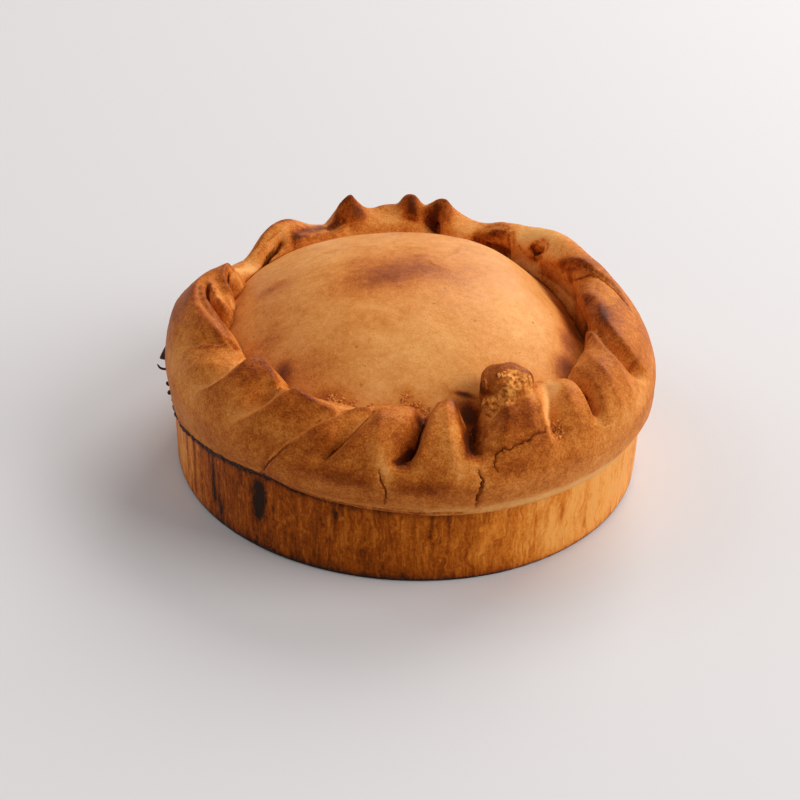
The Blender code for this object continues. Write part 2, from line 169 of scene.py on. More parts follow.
def round_path(rows: Sequence[Sequence[float]], count: int) -> Array:
    """Curve through rows that start with an angle, taken the short way round.

    Args:
        rows: Rows whose first value is an angle in degrees.
        count: Number of samples.

    Returns:
        Array of samples.
    """
    table = np.array(rows, float)
    table[:, 0] = np.unwrap(table[:, 0], period=360)
    return spline(table, count)


def turned(angle: Array) -> Array:
    """Same angle between -180 and 180 degrees."""
    return (np.asarray(angle) + 180) % 360 - 180


def ramped(x: Array, start: float, width: float) -> Array:
    """Share that rises from 0 at start to 1 a width further on."""
    return np.clip((x - start) / width, 0, 1)


def hill(x: Array, centre: float, width: float) -> Array:
    """Bell curve, 1 at its centre."""
    return np.exp(-(((x - centre) / width) ** 2))


def unit(vectors: Array) -> Array:
    """Vectors of length 1 along the same directions."""
    return vectors / np.linalg.norm(vectors, axis=-1, keepdims=True)


def bearing(points: Array) -> Array:
    """Angle of each point round the pie, in degrees."""
    return np.degrees(np.arctan2(points[:, 1], points[:, 0]))


def spot(angle: float, radius: float, height: float) -> Array:
    """Point from an angle in degrees, and a radius and height in base radii."""
    a = math.radians(angle)
    return np.array([radius * math.cos(a), radius * math.sin(a), height]) * BASE_RADIUS


# --------------------------------------------------------------------------- the rim's skin
@dataclass(frozen=True)
class RimSkin:
    """The rim's surface before its folds: a turned profile that changes round the pie.

    A place on it is an angle and a share of its girth, 0 at the seam over the wall and 1 at
    the lip on the lid. Profile and changes are in base radii.
    """

    share: tuple[float, ...] = (0.0, 0.15, 0.29, 0.45, 0.62, 0.77, 0.91, 1.0)
    radius: tuple[float, ...] = (1.006, 1.050, 1.060, 1.030, 0.960, 0.880, 0.800, 0.765)
    height: tuple[float, ...] = (0.320, 0.400, 0.480, 0.565, 0.640, 0.670, 0.655, 0.612)
    foot_share: tuple[float, ...] = (0.0, 0.06, 0.24, 0.36)
    foot_radius: tuple[float, ...] = (1.010, 1.020, 1.020, 0.0)
    core: Pair = (0.80, 0.48)
    girth_mm: float = 52.3
    mean_radius: float = 0.93
    seam_rise: tuple[Pair, ...] = (
        (-175, -0.045), (-160, -0.040), (-150, -0.008), (-140, 0.016), (-130, 0.036), (-122, 0.045),
        (-114, 0.030), (-105, 0.019), (-91, 0.010), (-84, 0.0), (-70, -0.004), (-50, 0.0), (-38, 0.0),
        (-28, 0.018), (0, 0.005), (90, 0.0), (150, -0.020),
    )
    bulge: tuple[Pair, ...] = (
        (180, -0.026), (-150, -0.018), (-120, -0.008), (-90, -0.004), (-50, -0.004), (-15, 0.0),
        (20, 0.0), (70, -0.006), (130, -0.016),
    )
    drawn_in: tuple[Pair, ...] = (
        (-45, 0.0), (-25, 0.014), (-5, 0.026), (20, 0.030), (45, 0.020), (70, 0.006), (90, 0.0),
        (-90, 0.0), (180, 0.0),
    )
    slim: tuple[Pair, ...] = (
        (-172, 0.006), (178, 0.018), (168, 0.042), (158, 0.066), (148, 0.066), (137, 0.040),
        (124, 0.012), (110, 0.0), (80, 0.0), (65, 0.008), (45, 0.020), (25, 0.028), (5, 0.022),
        (-12, 0.012), (-30, 0.0), (-90, 0.0), (-150, 0.0),
    )
    crown: tuple[Pair, ...] = (
        (-150, 0.000), (-120, -0.005), (-90, -0.010), (-60, 0.000), (-30, 0.005), (0, 0.005),
        (25, 0.030), (43, 0.062), (58, 0.020), (75, -0.012), (100, -0.015), (118, -0.005),
        (132, 0.045), (143, 0.010), (152, -0.045), (164, -0.015), (175, 0.020), (-165, 0.020),
    )

    @property
    def degree_mm(self) -> float:
        """Length of one degree round the rim in millimetres."""
        return self.mean_radius * BASE_RADIUS * math.pi / 180 / MM

    def seam_height(self, angle: Array) -> Array:
        """Height of the seam over the wall, in metres."""
        return (glide_round(angle, self.seam_rise) + self.height[0]) * BASE_RADIUS

    def point(self, angle: Array, share: Array) -> Array:
        """Point of the skin.

        Args:
            angle: Degrees.
            share: Share of the girth.

        Returns:
            Points in metres, in a last axis of three.
        """
        angle, share = np.broadcast_arrays(np.asarray(angle, float), np.asarray(share, float))
        r = glide(share, self.share, self.radius)
        z = glide(share, self.share, self.height)
        r = r + glide_round(angle, self.bulge) * ramped(r, 0.98, 0.07)
        side = ramped(share, 0, 0.25)
        r = r - glide_round(angle, self.drawn_in) * side
        r = r - glide_round(angle, self.slim) * side * ramped(-share, -0.84, 0.2)
        r = np.maximum(r, np.interp(share, self.foot_share, self.foot_radius))
        z = z + glide_round(angle, self.seam_rise) * np.clip(1 - share / 0.45, 0, 1) ** 2
        z = z + glide_round(angle, self.crown) * hill(share, 0.78, 0.24)
        a = np.radians(angle)
        return np.stack([r * np.cos(a), r * np.sin(a), z], -1) * BASE_RADIUS

    def up(self, angle: Array, share: Array) -> Array:
        """Direction a fold stands in: the normal, turned upwards near the crest.

        Args:
            angle: Degrees.
            share: Share of the girth.

        Returns:
            Unit vectors.
        """
        angle, share = np.broadcast_arrays(np.asarray(angle, float), np.asarray(share, float))
        around = self.point(angle + 0.1, share) - self.point(angle - 0.1, share)
        over = self.point(angle, share + 1e-3) - self.point(angle, share - 1e-3)
        lift = ramped(share, 0.35, 0.3) * 0.8
        return unit(unit(np.cross(around, over)) + lift[..., None] * UP)

    def place(self, points: Array) -> tuple[Array, Array, Array]:
        """Where points lie against the skin.

        Args:
            points: Points in metres, (n, 3).

        Returns:
            Angle, share of the nearest place on the skin, and height over it in metres.
        """
        angle = bearing(points)
        shares = np.linspace(0, 1, 51)
        grid = self.point(np.arange(-180, 180, 1.0)[:, None], shares[None, :])
        ring = np.stack([np.hypot(grid[..., 0], grid[..., 1]), grid[..., 2]], -1)
        mine = np.stack([np.hypot(points[:, 0], points[:, 1]), points[:, 2]], -1)
        row = np.clip(np.round(angle + 180).astype(int) % 360, 0, 359)
        best = np.empty(len(points), int)
        gap = np.empty(len(points))
        for part in (slice(start, start + 20000) for start in range(0, len(points), 20000)):
            d = ((ring[row[part]] - mine[part][:, None, :]) ** 2).sum(-1)
            best[part] = d.argmin(1)
            gap[part] = np.sqrt(d.min(1))
        base = ring[row, best]
        outward = np.sign(((mine - base) * (base - np.array(self.core) * BASE_RADIUS)).sum(-1))
        return angle, shares[best], gap * outward


SKIN = RimSkin()


@dataclass
class Dough:
    """The rim's surface with its relief: dough stretched over the rim's skin.

    The dough is stretched over ridges and valleys like a film that is a little blown up, so
    it lies plump between two lines, creases along a valley and is rounded along a ridge.
    """

    columns: int = 1440
    rows: int = 144
    levels: tuple[int, ...] = (16, 8, 4, 2, 1)
    rounds: int = 260
    slack: float = 0.0004
    most_slack: float = 0.08
    plump: float = 2.4
    softening: int = 6

    @staticmethod
    def held(columns: int, rows: int) -> tuple[Array, Array]:
        """Where the lines hold the dough.

        Args:
            columns: Steps round the rim.
            rows: Steps over the rim.

        Returns:
            Heights in millimetres, and whether each place is held.
        """
        total, count = np.zeros((columns, rows)), np.zeros((columns, rows))
        for line in LINES:
            p = round_path(line, 500)
            i = np.round(p[:, 0] % 360 / 360 * columns).astype(int) % columns
            j = np.clip(np.round(p[:, 1] * (rows - 1)), 0, rows - 1).astype(int)
            np.add.at(total, (i, j), p[:, 2])
            np.add.at(count, (i, j), 1)
        count[:, 0] += 1
        return total / np.maximum(count, 1), count > 0

    @staticmethod
    def averaged(film: Array) -> Array:
        """Mean of each place's four neighbours."""
        edge = np.concatenate([film[:, :1], film, film[:, -1:]], 1)
        return (np.roll(film, 1, 0) + np.roll(film, -1, 0) + edge[:, 2:] + edge[:, :-2]) / 4

    @cached_property
    def height(self) -> Array:
        """The stretched dough.

        Returns:
            Heights over the skin in millimetres, (columns, rows).
        """
        film = np.zeros((self.columns // self.levels[0], self.rows // self.levels[0]))
        for level in self.levels:
            columns, rows = self.columns // level, self.rows // level
            if film.shape != (columns, rows):
                film = np.repeat(np.repeat(film, 2, 0), 2, 1)[:columns, :rows]
            value, held = self.held(columns, rows)
            pull = min(self.slack * level**2, self.most_slack)
            rest = self.plump * ramped(np.linspace(0, 1, rows), 0.36, 0.24) * pull
            for _ in range(self.rounds):
                film = np.where(held, value, self.averaged(film) * (1 - pull) + rest)
        soft = film
        for _ in range(self.softening):
            soft = 0.5 * soft + 0.5 * self.averaged(soft)
        return np.minimum(film, soft)

    def raised(self, angle: Array, share: Array, height_mm: Array) -> Array:
        """Points at a height over places on the skin."""
        return SKIN.point(angle, share) + SKIN.up(angle, share) * (height_mm * MM)[..., None]

    def surface(self) -> tuple[Array, Array]:
        """The whole surface.

        Returns:
            Angle of every column, and points in metres, (columns, rows, 3).
        """
        columns = np.arange(self.columns) * 360 / self.columns
        angle, share = np.meshgrid(columns, np.linspace(0, 1, self.rows), indexing="ij")
        return columns, self.raised(angle, share, self.height)

    def at(self, angle: Array, share: Array) -> Array:
        """Points of the surface at some places.

        Args:
            angle: Degrees.
            share: Share of the girth.

        Returns:
            Points in metres.
        """
        h = self.height
        x = np.asarray(angle) % 360 / 360 * self.columns
        y = np.clip(np.asarray(share), 0, 1) * (self.rows - 1)
        i, j = np.floor(x).astype(int), np.minimum(np.floor(y).astype(int), self.rows - 2)
        u, v = x - i, y - j
        i, k = i % self.columns, (i + 1) % self.columns
        low, high = h[i, j] * (1 - u) + h[k, j] * u, h[i, j + 1] * (1 - u) + h[k, j + 1] * u
        return self.raised(angle, share, low * (1 - v) + high * v)


DOUGH = Dough()


# Ridges and creases on the far pleats' outside: angle and height, then how they slant and fall.
FAR_PLEATS = (
    (172, 2.6), (163.5, -1.4), (155, 1.2), (146.5, -1.8), (136, 2), (123, -1.8), (110, 3), (101, -1.2),
    (92.5, 3.6), (87, -1), (81.5, 4.4), (73, -1.4), (62.5, 3.2), (53, -1.2), (42, 3.4),
)
SLANT = 0.9
FAR_TOP = 0.66
FAR_STEP = 0.155
FAR_FALL = (1.0, 0.86, 0.55, 0.22)
# Lines that the stretched dough passes through: (angle, share, height in millimetres) points.
# A ridge stands above 0 and a crease lies below it.
LINES = (
    # cheek at the left end: its brown face, and the three layers along its inner edge
    ((177.5, 0.74, 5.4), (-179, 0.73, 6), (-174, 0.73, 6.2), (-168.5, 0.74, 6.2), (-163.5, 0.76, 6),
     (-158.5, 0.775, 5.6), (-154, 0.8, 5), (-150, 0.82, 4), (-147.5, 0.84, 3)),
    ((179.5, 0.745, 4.6), (-174.5, 0.755, 4.4), (-169.5, 0.765, 4.2), (-165, 0.785, 4),
     (-161, 0.81, 4)),
    ((-179.5, 0.76, 5.4), (-173.5, 0.775, 5.4), (-167.5, 0.795, 5.2), (-161.5, 0.82, 4.8),
     (-156, 0.85, 4), (-150.5, 0.89, 2.6)),
    ((179, 0.765, 4.8), (-176.5, 0.785, 4), (-172, 0.81, 3.8), (-167.5, 0.84, 3.6),
     (-162.5, 0.865, 3.2), (-158.5, 0.895, 2.6), (-155.5, 0.93, 1.6), (-152, 0.96, 0)),
    ((-170, 0.6, 4), (-164, 0.67, 4.6), (-159.5, 0.72, 4.6)),
    ((-163, 0.56, 1.8), (-158, 0.63, 1.8), (-154, 0.72, 2), (-151, 0.78, 2.2)),
    ((177, 0.69, 4.6), (179.5, 0.62, 4), (-178, 0.5, 2.8), (-178.5, 0.36, 1.6)),
    ((-159, 0.58, 0), (-156.5, 0.65, -0.8), (-154, 0.73, -1.4), (-150.5, 0.84, -1.6),
     (-148, 0.93, -2.2)),
    ((-158, 0.55, 0.8), (-155, 0.63, 1.3), (-151.8, 0.72, 1.7), (-147, 0.84, 1.6), (-144.5, 0.92, 1)),
    ((-151, 0.53, 1.8), (-147, 0.6, 2.3), (-144.5, 0.68, 2.2)),
    # pleat A
    ((-150, 0.33, 0.3), (-147, 0.41, -0.4), (-143, 0.55, -1.2), (-141.5, 0.67, -1.6),
     (-143, 0.82, -1.4), (-146, 0.94, -1)),
    ((-145, 0.41, 0.8), (-140.5, 0.54, 2), (-138, 0.63, 3), (-136.8, 0.72, 4.4), (-137.5, 0.8, 5.5),
     (-139, 0.87, 6.6)),
    ((-139, 0.87, 6.6), (-136.5, 0.88, 5.8), (-133, 0.86, 5.2), (-127.5, 0.8, 4.2), (-124, 0.77, 2.8),
     (-123, 0.8, 1)),
    ((-140, 0.95, 1.5), (-135, 0.95, 2), (-131, 0.94, 1.5), (-127, 0.93, 0), (-125, 0.9, -2)),
    ((-132, 0.5, 1), (-130.5, 0.6, 1.2), (-130.5, 0.72, 1.8)),
    # pleat B
    ((-131, 0.43, 0.2), (-129, 0.54, -2), (-127.2, 0.64, -3.2), (-126, 0.73, -3.2),
     (-125.2, 0.84, -2.2), (-125, 0.93, -3)),
    ((-131, 0.38, 1), (-128.5, 0.46, 1.8), (-125.5, 0.52, 2.8), (-123, 0.59, 3.6), (-121.5, 0.66, 4.3),
     (-119.5, 0.76, 4.9)),
    ((-119.5, 0.76, 4.9), (-115.5, 0.735, 4.2), (-111.5, 0.73, 2.8), (-107.5, 0.74, 1.2)),
    ((-120, 0.92, -1), (-114, 0.88, -1), (-108, 0.86, -1), (-103, 0.9, -1.5)),
    # crease down to the seam, and pleat C
    ((-106.5, 0.78, -1.2), (-110.5, 0.67, -1.6), (-114, 0.55, -1.8), (-117.8, 0.42, -1.6),
     (-120.2, 0.27, -1.3), (-123, 0.05, -0.8)),
    ((-105.8, 0.72, 1), (-109.3, 0.62, 1.5), (-112.6, 0.52, 1.8), (-116.3, 0.41, 1.6),
     (-118.5, 0.29, 1.2), (-121, 0.08, 0.8)),
    ((-106, 0.73, 1), (-104, 0.78, 2), (-101, 0.82, 2.2), (-98.5, 0.83, 1.8)),
    ((-107, 0.56, 1.6), (-110, 0.44, 1.6), (-113.5, 0.34, 1.2)),
    # pleat D
    ((-99.5, 0.84, 0), (-101.5, 0.73, -1.4), (-103.8, 0.6, -2.6), (-105.8, 0.51, -3.8),
     (-107.4, 0.43, -3.8), (-108.2, 0.385, -1.5)),
    ((-98.2, 0.78, 1.8), (-100.2, 0.65, 2), (-102.2, 0.54, 2.4), (-103.8, 0.47, 2.4),
     (-105.8, 0.39, 1.8), (-108, 0.33, 1.1)),
    ((-97.5, 0.8, 2.6), (-97, 0.68, 3.4), (-96.5, 0.6, 3.6), (-96.3, 0.5, 3.2), (-96, 0.38, 1.6)),
    ((-97.5, 0.8, 2.6), (-94.5, 0.85, 2.6), (-91, 0.885, 2.4), (-88.5, 0.89, 2.2)),
    ((-88.5, 0.89, 2.2), (-89.6, 0.8, 2.2), (-91.6, 0.68, 2.2), (-93.4, 0.55, 2), (-94.2, 0.44, 1.6)),
    ((-84.6, 0.97, -1), (-86, 0.88, -3), (-86.9, 0.78, -5), (-87.8, 0.66, -6.8), (-88.6, 0.57, -7.2),
     (-89.6, 0.5, -6.4), (-90.8, 0.452, -4), (-92, 0.44, -2)),
    ((-94.4, 0.4, 1.4), (-93, 0.38, 1.3), (-91, 0.385, 1.3), (-88.6, 0.42, 1.6)),
    # pleat F
    ((-82.2, 0.93, 3.6), (-83.6, 0.8, 3.6), (-85, 0.73, 3.2), (-86.4, 0.62, 2.8), (-87.8, 0.51, 2.6),
     (-88.6, 0.43, 1.9)),
    ((-79.4, 0.92, 5), (-80.8, 0.8, 5), (-81.4, 0.68, 4.8), (-81.3, 0.57, 4.2), (-80.6, 0.46, 2.8),
     (-79.5, 0.34, 1.2)),
    ((-77.6, 0.92, 4), (-78.8, 0.78, 3.8), (-79.2, 0.65, 3.2), (-78.4, 0.52, 2), (-76.4, 0.44, 1)),
    ((-73.6, 1, -8), (-73.8, 0.9, -9), (-74.2, 0.78, -10), (-74.9, 0.67, -9.5), (-75.5, 0.57, -7),
     (-75.9, 0.49, -2)),
    # the thick pleat H under the knob
    ((-69.2, 0.92, 0), (-70, 0.78, -1), (-71.2, 0.68, -1), (-72.6, 0.58, -0.4), (-73.8, 0.5, 0.4)),
    ((-65, 0.9, 5.5), (-66.4, 0.76, 5.4), (-67.8, 0.65, 4.8), (-69.4, 0.56, 3.6), (-70.6, 0.48, 2),
     (-71, 0.4, 0.8)),
    ((-60.5, 0.78, 6), (-62, 0.66, 5.4), (-63.5, 0.55, 4.2), (-64, 0.44, 2.4), (-64, 0.32, 1)),
    ((-56.5, 0.84, 5), (-57.8, 0.74, 5), (-59, 0.65, 4.3), (-59.6, 0.56, 3.2), (-59, 0.46, 2)),
    ((-50, 0.88, 0.5), (-52.5, 0.8, -0.8), (-54.6, 0.71, -2), (-56.2, 0.64, -2.6), (-56.4, 0.56, -2.6),
     (-55, 0.5, -1)),
    ((-58.5, 0.96, 4.6), (-54, 0.98, 4.8), (-49, 0.98, 4.6), (-45, 0.96, 3.2)),
    # bulge I
    ((-44.5, 0.89, 2), (-46.8, 0.8, 2.8), (-48.5, 0.74, 3.1), (-50.2, 0.66, 3.2), (-50.5, 0.58, 2.6),
     (-50.5, 0.5, 1.8)),
    ((-49.5, 0.8, 1.4), (-52, 0.73, 0.8), (-53.8, 0.66, 0.2), (-54.4, 0.58, 0.2)),
    ((-43, 0.88, 1.8), (-43.8, 0.8, 2.2), (-44.8, 0.7, 2.2), (-45.6, 0.62, 2), (-46.8, 0.54, 2)),
    ((-39.6, 0.95, -2), (-41.2, 0.84, -4.6), (-42.2, 0.73, -5.8), (-42.8, 0.64, -5.8),
     (-43.6, 0.57, -4.2), (-44.4, 0.51, -0.6)),
    # pleat J
    ((-34.8, 0.94, 1.6), (-37.4, 0.84, 2.4), (-39.7, 0.73, 2.8), (-40.9, 0.64, 3), (-41.9, 0.56, 2.7),
     (-42.7, 0.49, 1.8)),
    ((-29, 0.91, 4.4), (-34.5, 0.77, 5), (-37, 0.65, 5), (-38, 0.55, 4.2), (-38.5, 0.47, 3),
     (-40.5, 0.36, 1.4)),
    ((-13, 0.97, 5.2), (-17, 0.92, 5.2), (-23, 0.86, 5.2), (-28, 0.77, 5.3), (-31, 0.68, 5),
     (-31.8, 0.6, 4.4), (-32, 0.54, 3.5), (-32.5, 0.47, 2.6), (-33.5, 0.39, 1.5), (-35.5, 0.31, 0.6)),
    ((-14, 1, 2), (-24, 0.97, 1.6), (-32, 0.96, 1), (-38, 0.96, -1)),
    ((-50, 0.36, 1.6), (-58, 0.34, 1.2), (-70, 0.27, 1), (-84, 0.26, 1.2), (-96, 0.25, 1.2)),
    # hollow K
    ((-10, 0.93, 1), (-17.5, 0.85, 0), (-21.5, 0.77, -1.8), (-23, 0.67, -3.6), (-22.5, 0.57, -3.6),
     (-21.5, 0.5, -1.5)),
    ((-28.6, 0.56, 1.6), (-26.5, 0.51, 1.4), (-23, 0.44, 1), (-19, 0.42, 0.8)),
    # pleat L: square tip, ridge between its two faces, ridge along its top
    ((13, 0.985, 5.6), (10.5, 0.95, 6.2), (7, 0.93, 6.4), (3, 0.895, 6), (-2.5, 0.89, 5.6)),
    ((13, 0.985, 5.6), (7, 0.985, 5.2), (0, 0.975, 5), (-5.5, 0.93, 5.4)),
    ((-2.5, 0.89, 5.6), (-6.5, 0.885, 5.5), (-12, 0.84, 5.2), (-18, 0.755, 4.6), (-20.5, 0.67, 3.6),
     (-20.5, 0.57, 2.2), (-19.5, 0.46, 1)),
    ((15, 0.935, 5.6), (12, 0.895, 4.8), (7, 0.86, 4.4), (0.5, 0.8, 3.8), (-5.5, 0.72, 3.2),
     (-9.5, 0.61, 2.8), (-12, 0.5, 1.8)),
    ((15, 0.935, 5.6), (16.5, 0.96, 3), (13, 1, 3), (5, 1, 2.5), (-4, 1, 1.5), (-10, 1, 0)),
    # pleat N: brown ridge, its steep inner face, and the double crease behind it
    ((46, 0.955, -4.6), (40, 0.955, -1.2), (35, 0.93, 1.4), (31, 0.9, 4), (27.5, 0.865, 6),
     (24, 0.84, 6.6), (21.5, 0.82, 6)),
    ((21.5, 0.82, 6), (18, 0.785, 5), (12.5, 0.72, 4), (6, 0.66, 3.2), (-2, 0.58, 2.4)),
    ((46, 0.99, -7), (36, 0.985, -5.4), (30, 0.975, -4), (25.5, 0.965, -1.6), (22, 0.935, 0.8),
     (19.5, 0.9, 2.6)),
    ((21.5, 0.85, 4.8), (19, 0.845, 4.2), (15.5, 0.8, 3.4), (11, 0.745, 2.8), (5.5, 0.695, 2.4)),
    ((46, 1, -8), (30, 1, -8), (22, 1, -7), (17.5, 0.985, -4)),
    # smooth side P with the curled hole O
    ((62, 0.74, 3), (56, 0.73, 3), (50, 0.73, 3), (44, 0.73, 2.9), (38, 0.69, 2.8), (32, 0.64, 2.6),
     (24, 0.54, 1.8)),
    ((50.6, 0.9, -1.4), (48.8, 0.86, 0.2), (46.2, 0.836, 1.2), (43.4, 0.845, 1), (42.2, 0.88, 0),
     (44, 0.917, -1.8), (47.2, 0.934, -2.8), (50, 0.92, -2.4), (50.6, 0.9, -1.4)),
    ((48.6, 0.892, -6.5), (47.2, 0.888, -7.5), (45.6, 0.874, -7)),
    ((54.5, 0.955, -4), (51.5, 0.965, -6.2), (48, 0.962, -6.8), (44.5, 0.94, -4.4)),
    ((56, 0.985, -5), (51, 1, -7), (46, 1, -8)),
    # pocket Q with its roof and its thin side
    ((76.9, 0.765, 5), (74, 0.76, 3.4), (70.5, 0.76, 2.2), (67.8, 0.765, 2), (65.5, 0.765, 3),
     (63, 0.76, 3.4), (60.5, 0.76, 3)),
    ((70.5, 0.915, 1.4), (67.5, 0.905, 1.6), (64.5, 0.885, 2.2), (61.8, 0.875, 2.8), (59, 0.875, 2.8)),
    ((59, 0.875, 2.8), (56.8, 0.885, 2.2), (55.7, 0.92, 0.2), (55.8, 0.96, -2), (56, 0.985, -4)),
    ((54.6, 0.88, 0.6), (53.6, 0.91, -1.8), (53.8, 0.945, -4.2)),
    ((69.5, 0.955, -4), (66, 0.935, -6), (62, 0.925, -7.5), (58.8, 0.945, -8), (57.8, 0.99, -8)),
    # tall pleats T, S and R at the back
    ((118.5, 0.77, 0.4), (117, 0.79, 1.6), (115.6, 0.8, 8.4), (113.5, 0.81, 13.2), (111.4, 0.81, 15.6),
     (109.3, 0.8, 12), (106.4, 0.785, 7.6), (103.4, 0.77, 6.2), (101.5, 0.76, 7), (99, 0.76, 7.8),
     (96.4, 0.76, 7.6)),
    ((111.6, 0.81, 15.6), (112.7, 0.85, 10.5), (113.4, 0.89, 5.8), (113.6, 0.925, 2.4)),
    ((119, 0.93, 1.6), (118.6, 0.86, 0.2), (118.4, 0.77, 0), (117.4, 0.68, -0.4), (115.6, 0.58, -0.8)),
    ((113.6, 0.925, 2.4), (109, 0.93, 4), (104, 0.93, 4.6), (99, 0.925, 4.6), (95.4, 0.91, 4.4),
     (92.5, 0.905, 4), (90, 0.905, 3), (88, 0.9, 1.5)),
    ((96.2, 0.77, 7.6), (95.2, 0.79, 10.4), (94.2, 0.8, 13), (92.3, 0.8, 13.8), (90.4, 0.8, 13),
     (88.9, 0.79, 9.8), (87.6, 0.77, 7.4)),
    ((95, 0.835, 9.8), (94, 0.85, 11.2), (92.4, 0.855, 11.6), (90.8, 0.85, 11), (89.6, 0.84, 9)),
    ((94.8, 0.87, 6.6), (92.5, 0.88, 7.4), (90.6, 0.875, 6.8)),
    ((87.6, 0.77, 7.4), (85.5, 0.78, 9.8), (83.6, 0.79, 12), (81, 0.79, 12.2), (79.6, 0.785, 9.2),
     (78.3, 0.78, 6.8), (76.9, 0.77, 5.2)),
    ((81, 0.79, 12.2), (80.8, 0.84, 10.4), (81, 0.885, 7.4), (81.2, 0.93, 4), (80.8, 0.98, 1)),
    ((89, 0.83, 8.6), (86.6, 0.83, 8.2), (84.6, 0.835, 8.8), (82.8, 0.84, 9.6)),
    ((87.6, 0.88, 1), (85.8, 0.875, 0), (83.6, 0.88, -1), (82.8, 0.93, -2), (83.5, 0.99, -2)),
    ((80.4, 0.955, 1.4), (77, 0.95, 1.8), (73.5, 0.94, 1.8), (71.5, 0.92, 1.6)),
    # long pleat U with its slit
    ((155.5, 0.82, 2.2), (150.5, 0.81, 2.4), (147, 0.8, 2.2), (144.5, 0.79, 2.4), (141.9, 0.78, 3.3),
     (138.3, 0.78, 3.9), (134.4, 0.78, 3.9), (131.8, 0.78, 3.2), (128.5, 0.78, 1.8), (124.2, 0.78, 0.4),
     (119.5, 0.77, 0.4)),
    ((154, 0.975, -0.4), (149.4, 0.965, 0.6), (144.5, 0.96, 1.4), (139, 0.955, 1.6), (133.5, 0.95, 2.2),
     (127.7, 0.95, 3.2), (121, 0.94, 4.2), (116.6, 0.94, 3.6), (113.8, 0.93, 2.6)),
    ((150, 0.955, 0), (146.8, 0.938, -2.4), (143.4, 0.925, -3.4), (139.8, 0.905, -2.6),
     (137.6, 0.89, 0.4)),
    ((151, 0.87, 2), (146, 0.865, 2.2), (141, 0.86, 2.8), (136, 0.86, 3), (130, 0.86, 2.4)),
    ((131, 0.905, 0.8), (126, 0.9, 0.4), (121, 0.89, 1), (117, 0.88, 0.6)),
    # loop W and pocket V
    ((177, 0.75, 5), (174, 0.78, 5.4), (171.3, 0.815, 6.2), (168.4, 0.835, 7.4), (166.3, 0.85, 7.8),
     (164, 0.845, 5.6), (161.5, 0.835, 3.4)),
    ((166.6, 0.85, 8), (170, 0.865, 8), (173, 0.872, 7.4), (175.4, 0.885, 6.6), (177.6, 0.91, 5.6),
     (-179.7, 0.93, 4.6), (-178.6, 0.965, 3.2), (-178.4, 0.99, 1.8)),
    ((169.4, 0.885, 4), (172, 0.9, 2), (173.6, 0.925, -1), (174.2, 0.95, -3.5), (173, 0.99, -5)),
    ((166.3, 0.855, 7.6), (167, 0.885, 6.8), (167.8, 0.915, 5.4), (168, 0.945, 4), (167, 0.99, 2.4)),
    ((160.3, 0.855, 2.4), (160.6, 0.9, 0.6), (159.6, 0.95, -1), (159, 0.98, -2)),
    ((178, 0.76, 5), (179.5, 0.8, 5), (-177.5, 0.832, 4.6), (-174.6, 0.87, 4.2), (-172.4, 0.9, 3.6),
     (-170.8, 0.93, 2.6), (-170.6, 0.97, 1)),
    ((176.5, 0.835, 4.4), (179.5, 0.87, 3.2), (-177, 0.9, 2.4), (-175.2, 0.93, 1.8)),
    ((179.8, 0.785, 2), (-178, 0.8, -2), (-174, 0.835, -5), (-170.5, 0.87, -6), (-167, 0.905, -6),
     (-164, 0.945, -5), (-161.5, 0.985, -4)),
    # outside of the far pleats
    *(
        tuple(
            (angle - 2 * SLANT * k - SLANT * k * k, FAR_TOP - FAR_STEP * k, height * fall)
            for k, fall in enumerate(FAR_FALL)
        )
        for angle, height in FAR_PLEATS
    ),
)


# --------------------------------------------------------------------------- mesh helpers
def new_object(name: str, mesh: Optional[Mesh] = None) -> Object:
    """Object linked to the scene.

    Args:
        name: Name of the object.
        mesh: Its mesh, or None for an empty one, for a tree that makes its own geometry.

    Returns:
        The object.
    """
    obj = bpy.data.objects.new(name, mesh or bpy.data.meshes.new(name))
    bpy.context.scene.collection.objects.link(obj)
    return obj


def add_mesh(name: str, verts: Array, faces: Sequence[Sequence[int]]) -> Object:
    """Object from points and faces, with its faces turned outwards.

    Args:
        name: Name of the object and its mesh.
        verts: Points in metres.
        faces: Lists of point numbers.

    Returns:
        The object.
    """
    mesh = bpy.data.meshes.new(name)
    mesh.from_pydata(np.asarray(verts, float).tolist(), [], [list(map(int, f)) for f in faces])
    bm = bmesh.new()
    bm.from_mesh(mesh)
    bmesh.ops.recalc_face_normals(bm, faces=bm.faces)
    bm.to_mesh(mesh)
    bm.free()
    return new_object(name, mesh)


def quads(rows: int, columns: int, closed_rows: bool, closed_columns: bool) -> list[list[int]]:
    """Faces of a grid of points.

    Args:
        rows: Points along the first way.
        columns: Points along the second way.
        closed_rows: Whether the last row joins the first.
        closed_columns: Whether the last column joins the first.

    Returns:
        Quads as lists of point numbers.
    """
    n = rows if closed_rows else rows - 1
    m = columns if closed_columns else columns - 1
    i, j = np.meshgrid(np.arange(n), np.arange(m), indexing="ij")
    i2, j2 = (i + 1) % rows, (j + 1) % columns
    corners = [i * columns + j, i2 * columns + j, i2 * columns + j2, i * columns + j2]
    return np.stack(corners, -1).reshape(-1, 4).tolist()


def lofted(name: str, rings: Array) -> Object:
    """Closed body through rings of points, capped at both ends.

    Args:
        name: Name of the object.
        rings: Points, (rings, points per ring, 3).

    Returns:
        The object.
    """
    n, m, _ = rings.shape
    verts = np.vstack([rings.reshape(-1, 3), rings[0].mean(0), rings[-1].mean(0)])
    faces = quads(n, m, False, True)
    for j in range(m):
        k = (j + 1) % m
        faces += [[n * m, j, k], [n * m + 1, (n - 1) * m + k, (n - 1) * m + j]]
    return add_mesh(name, verts, faces)


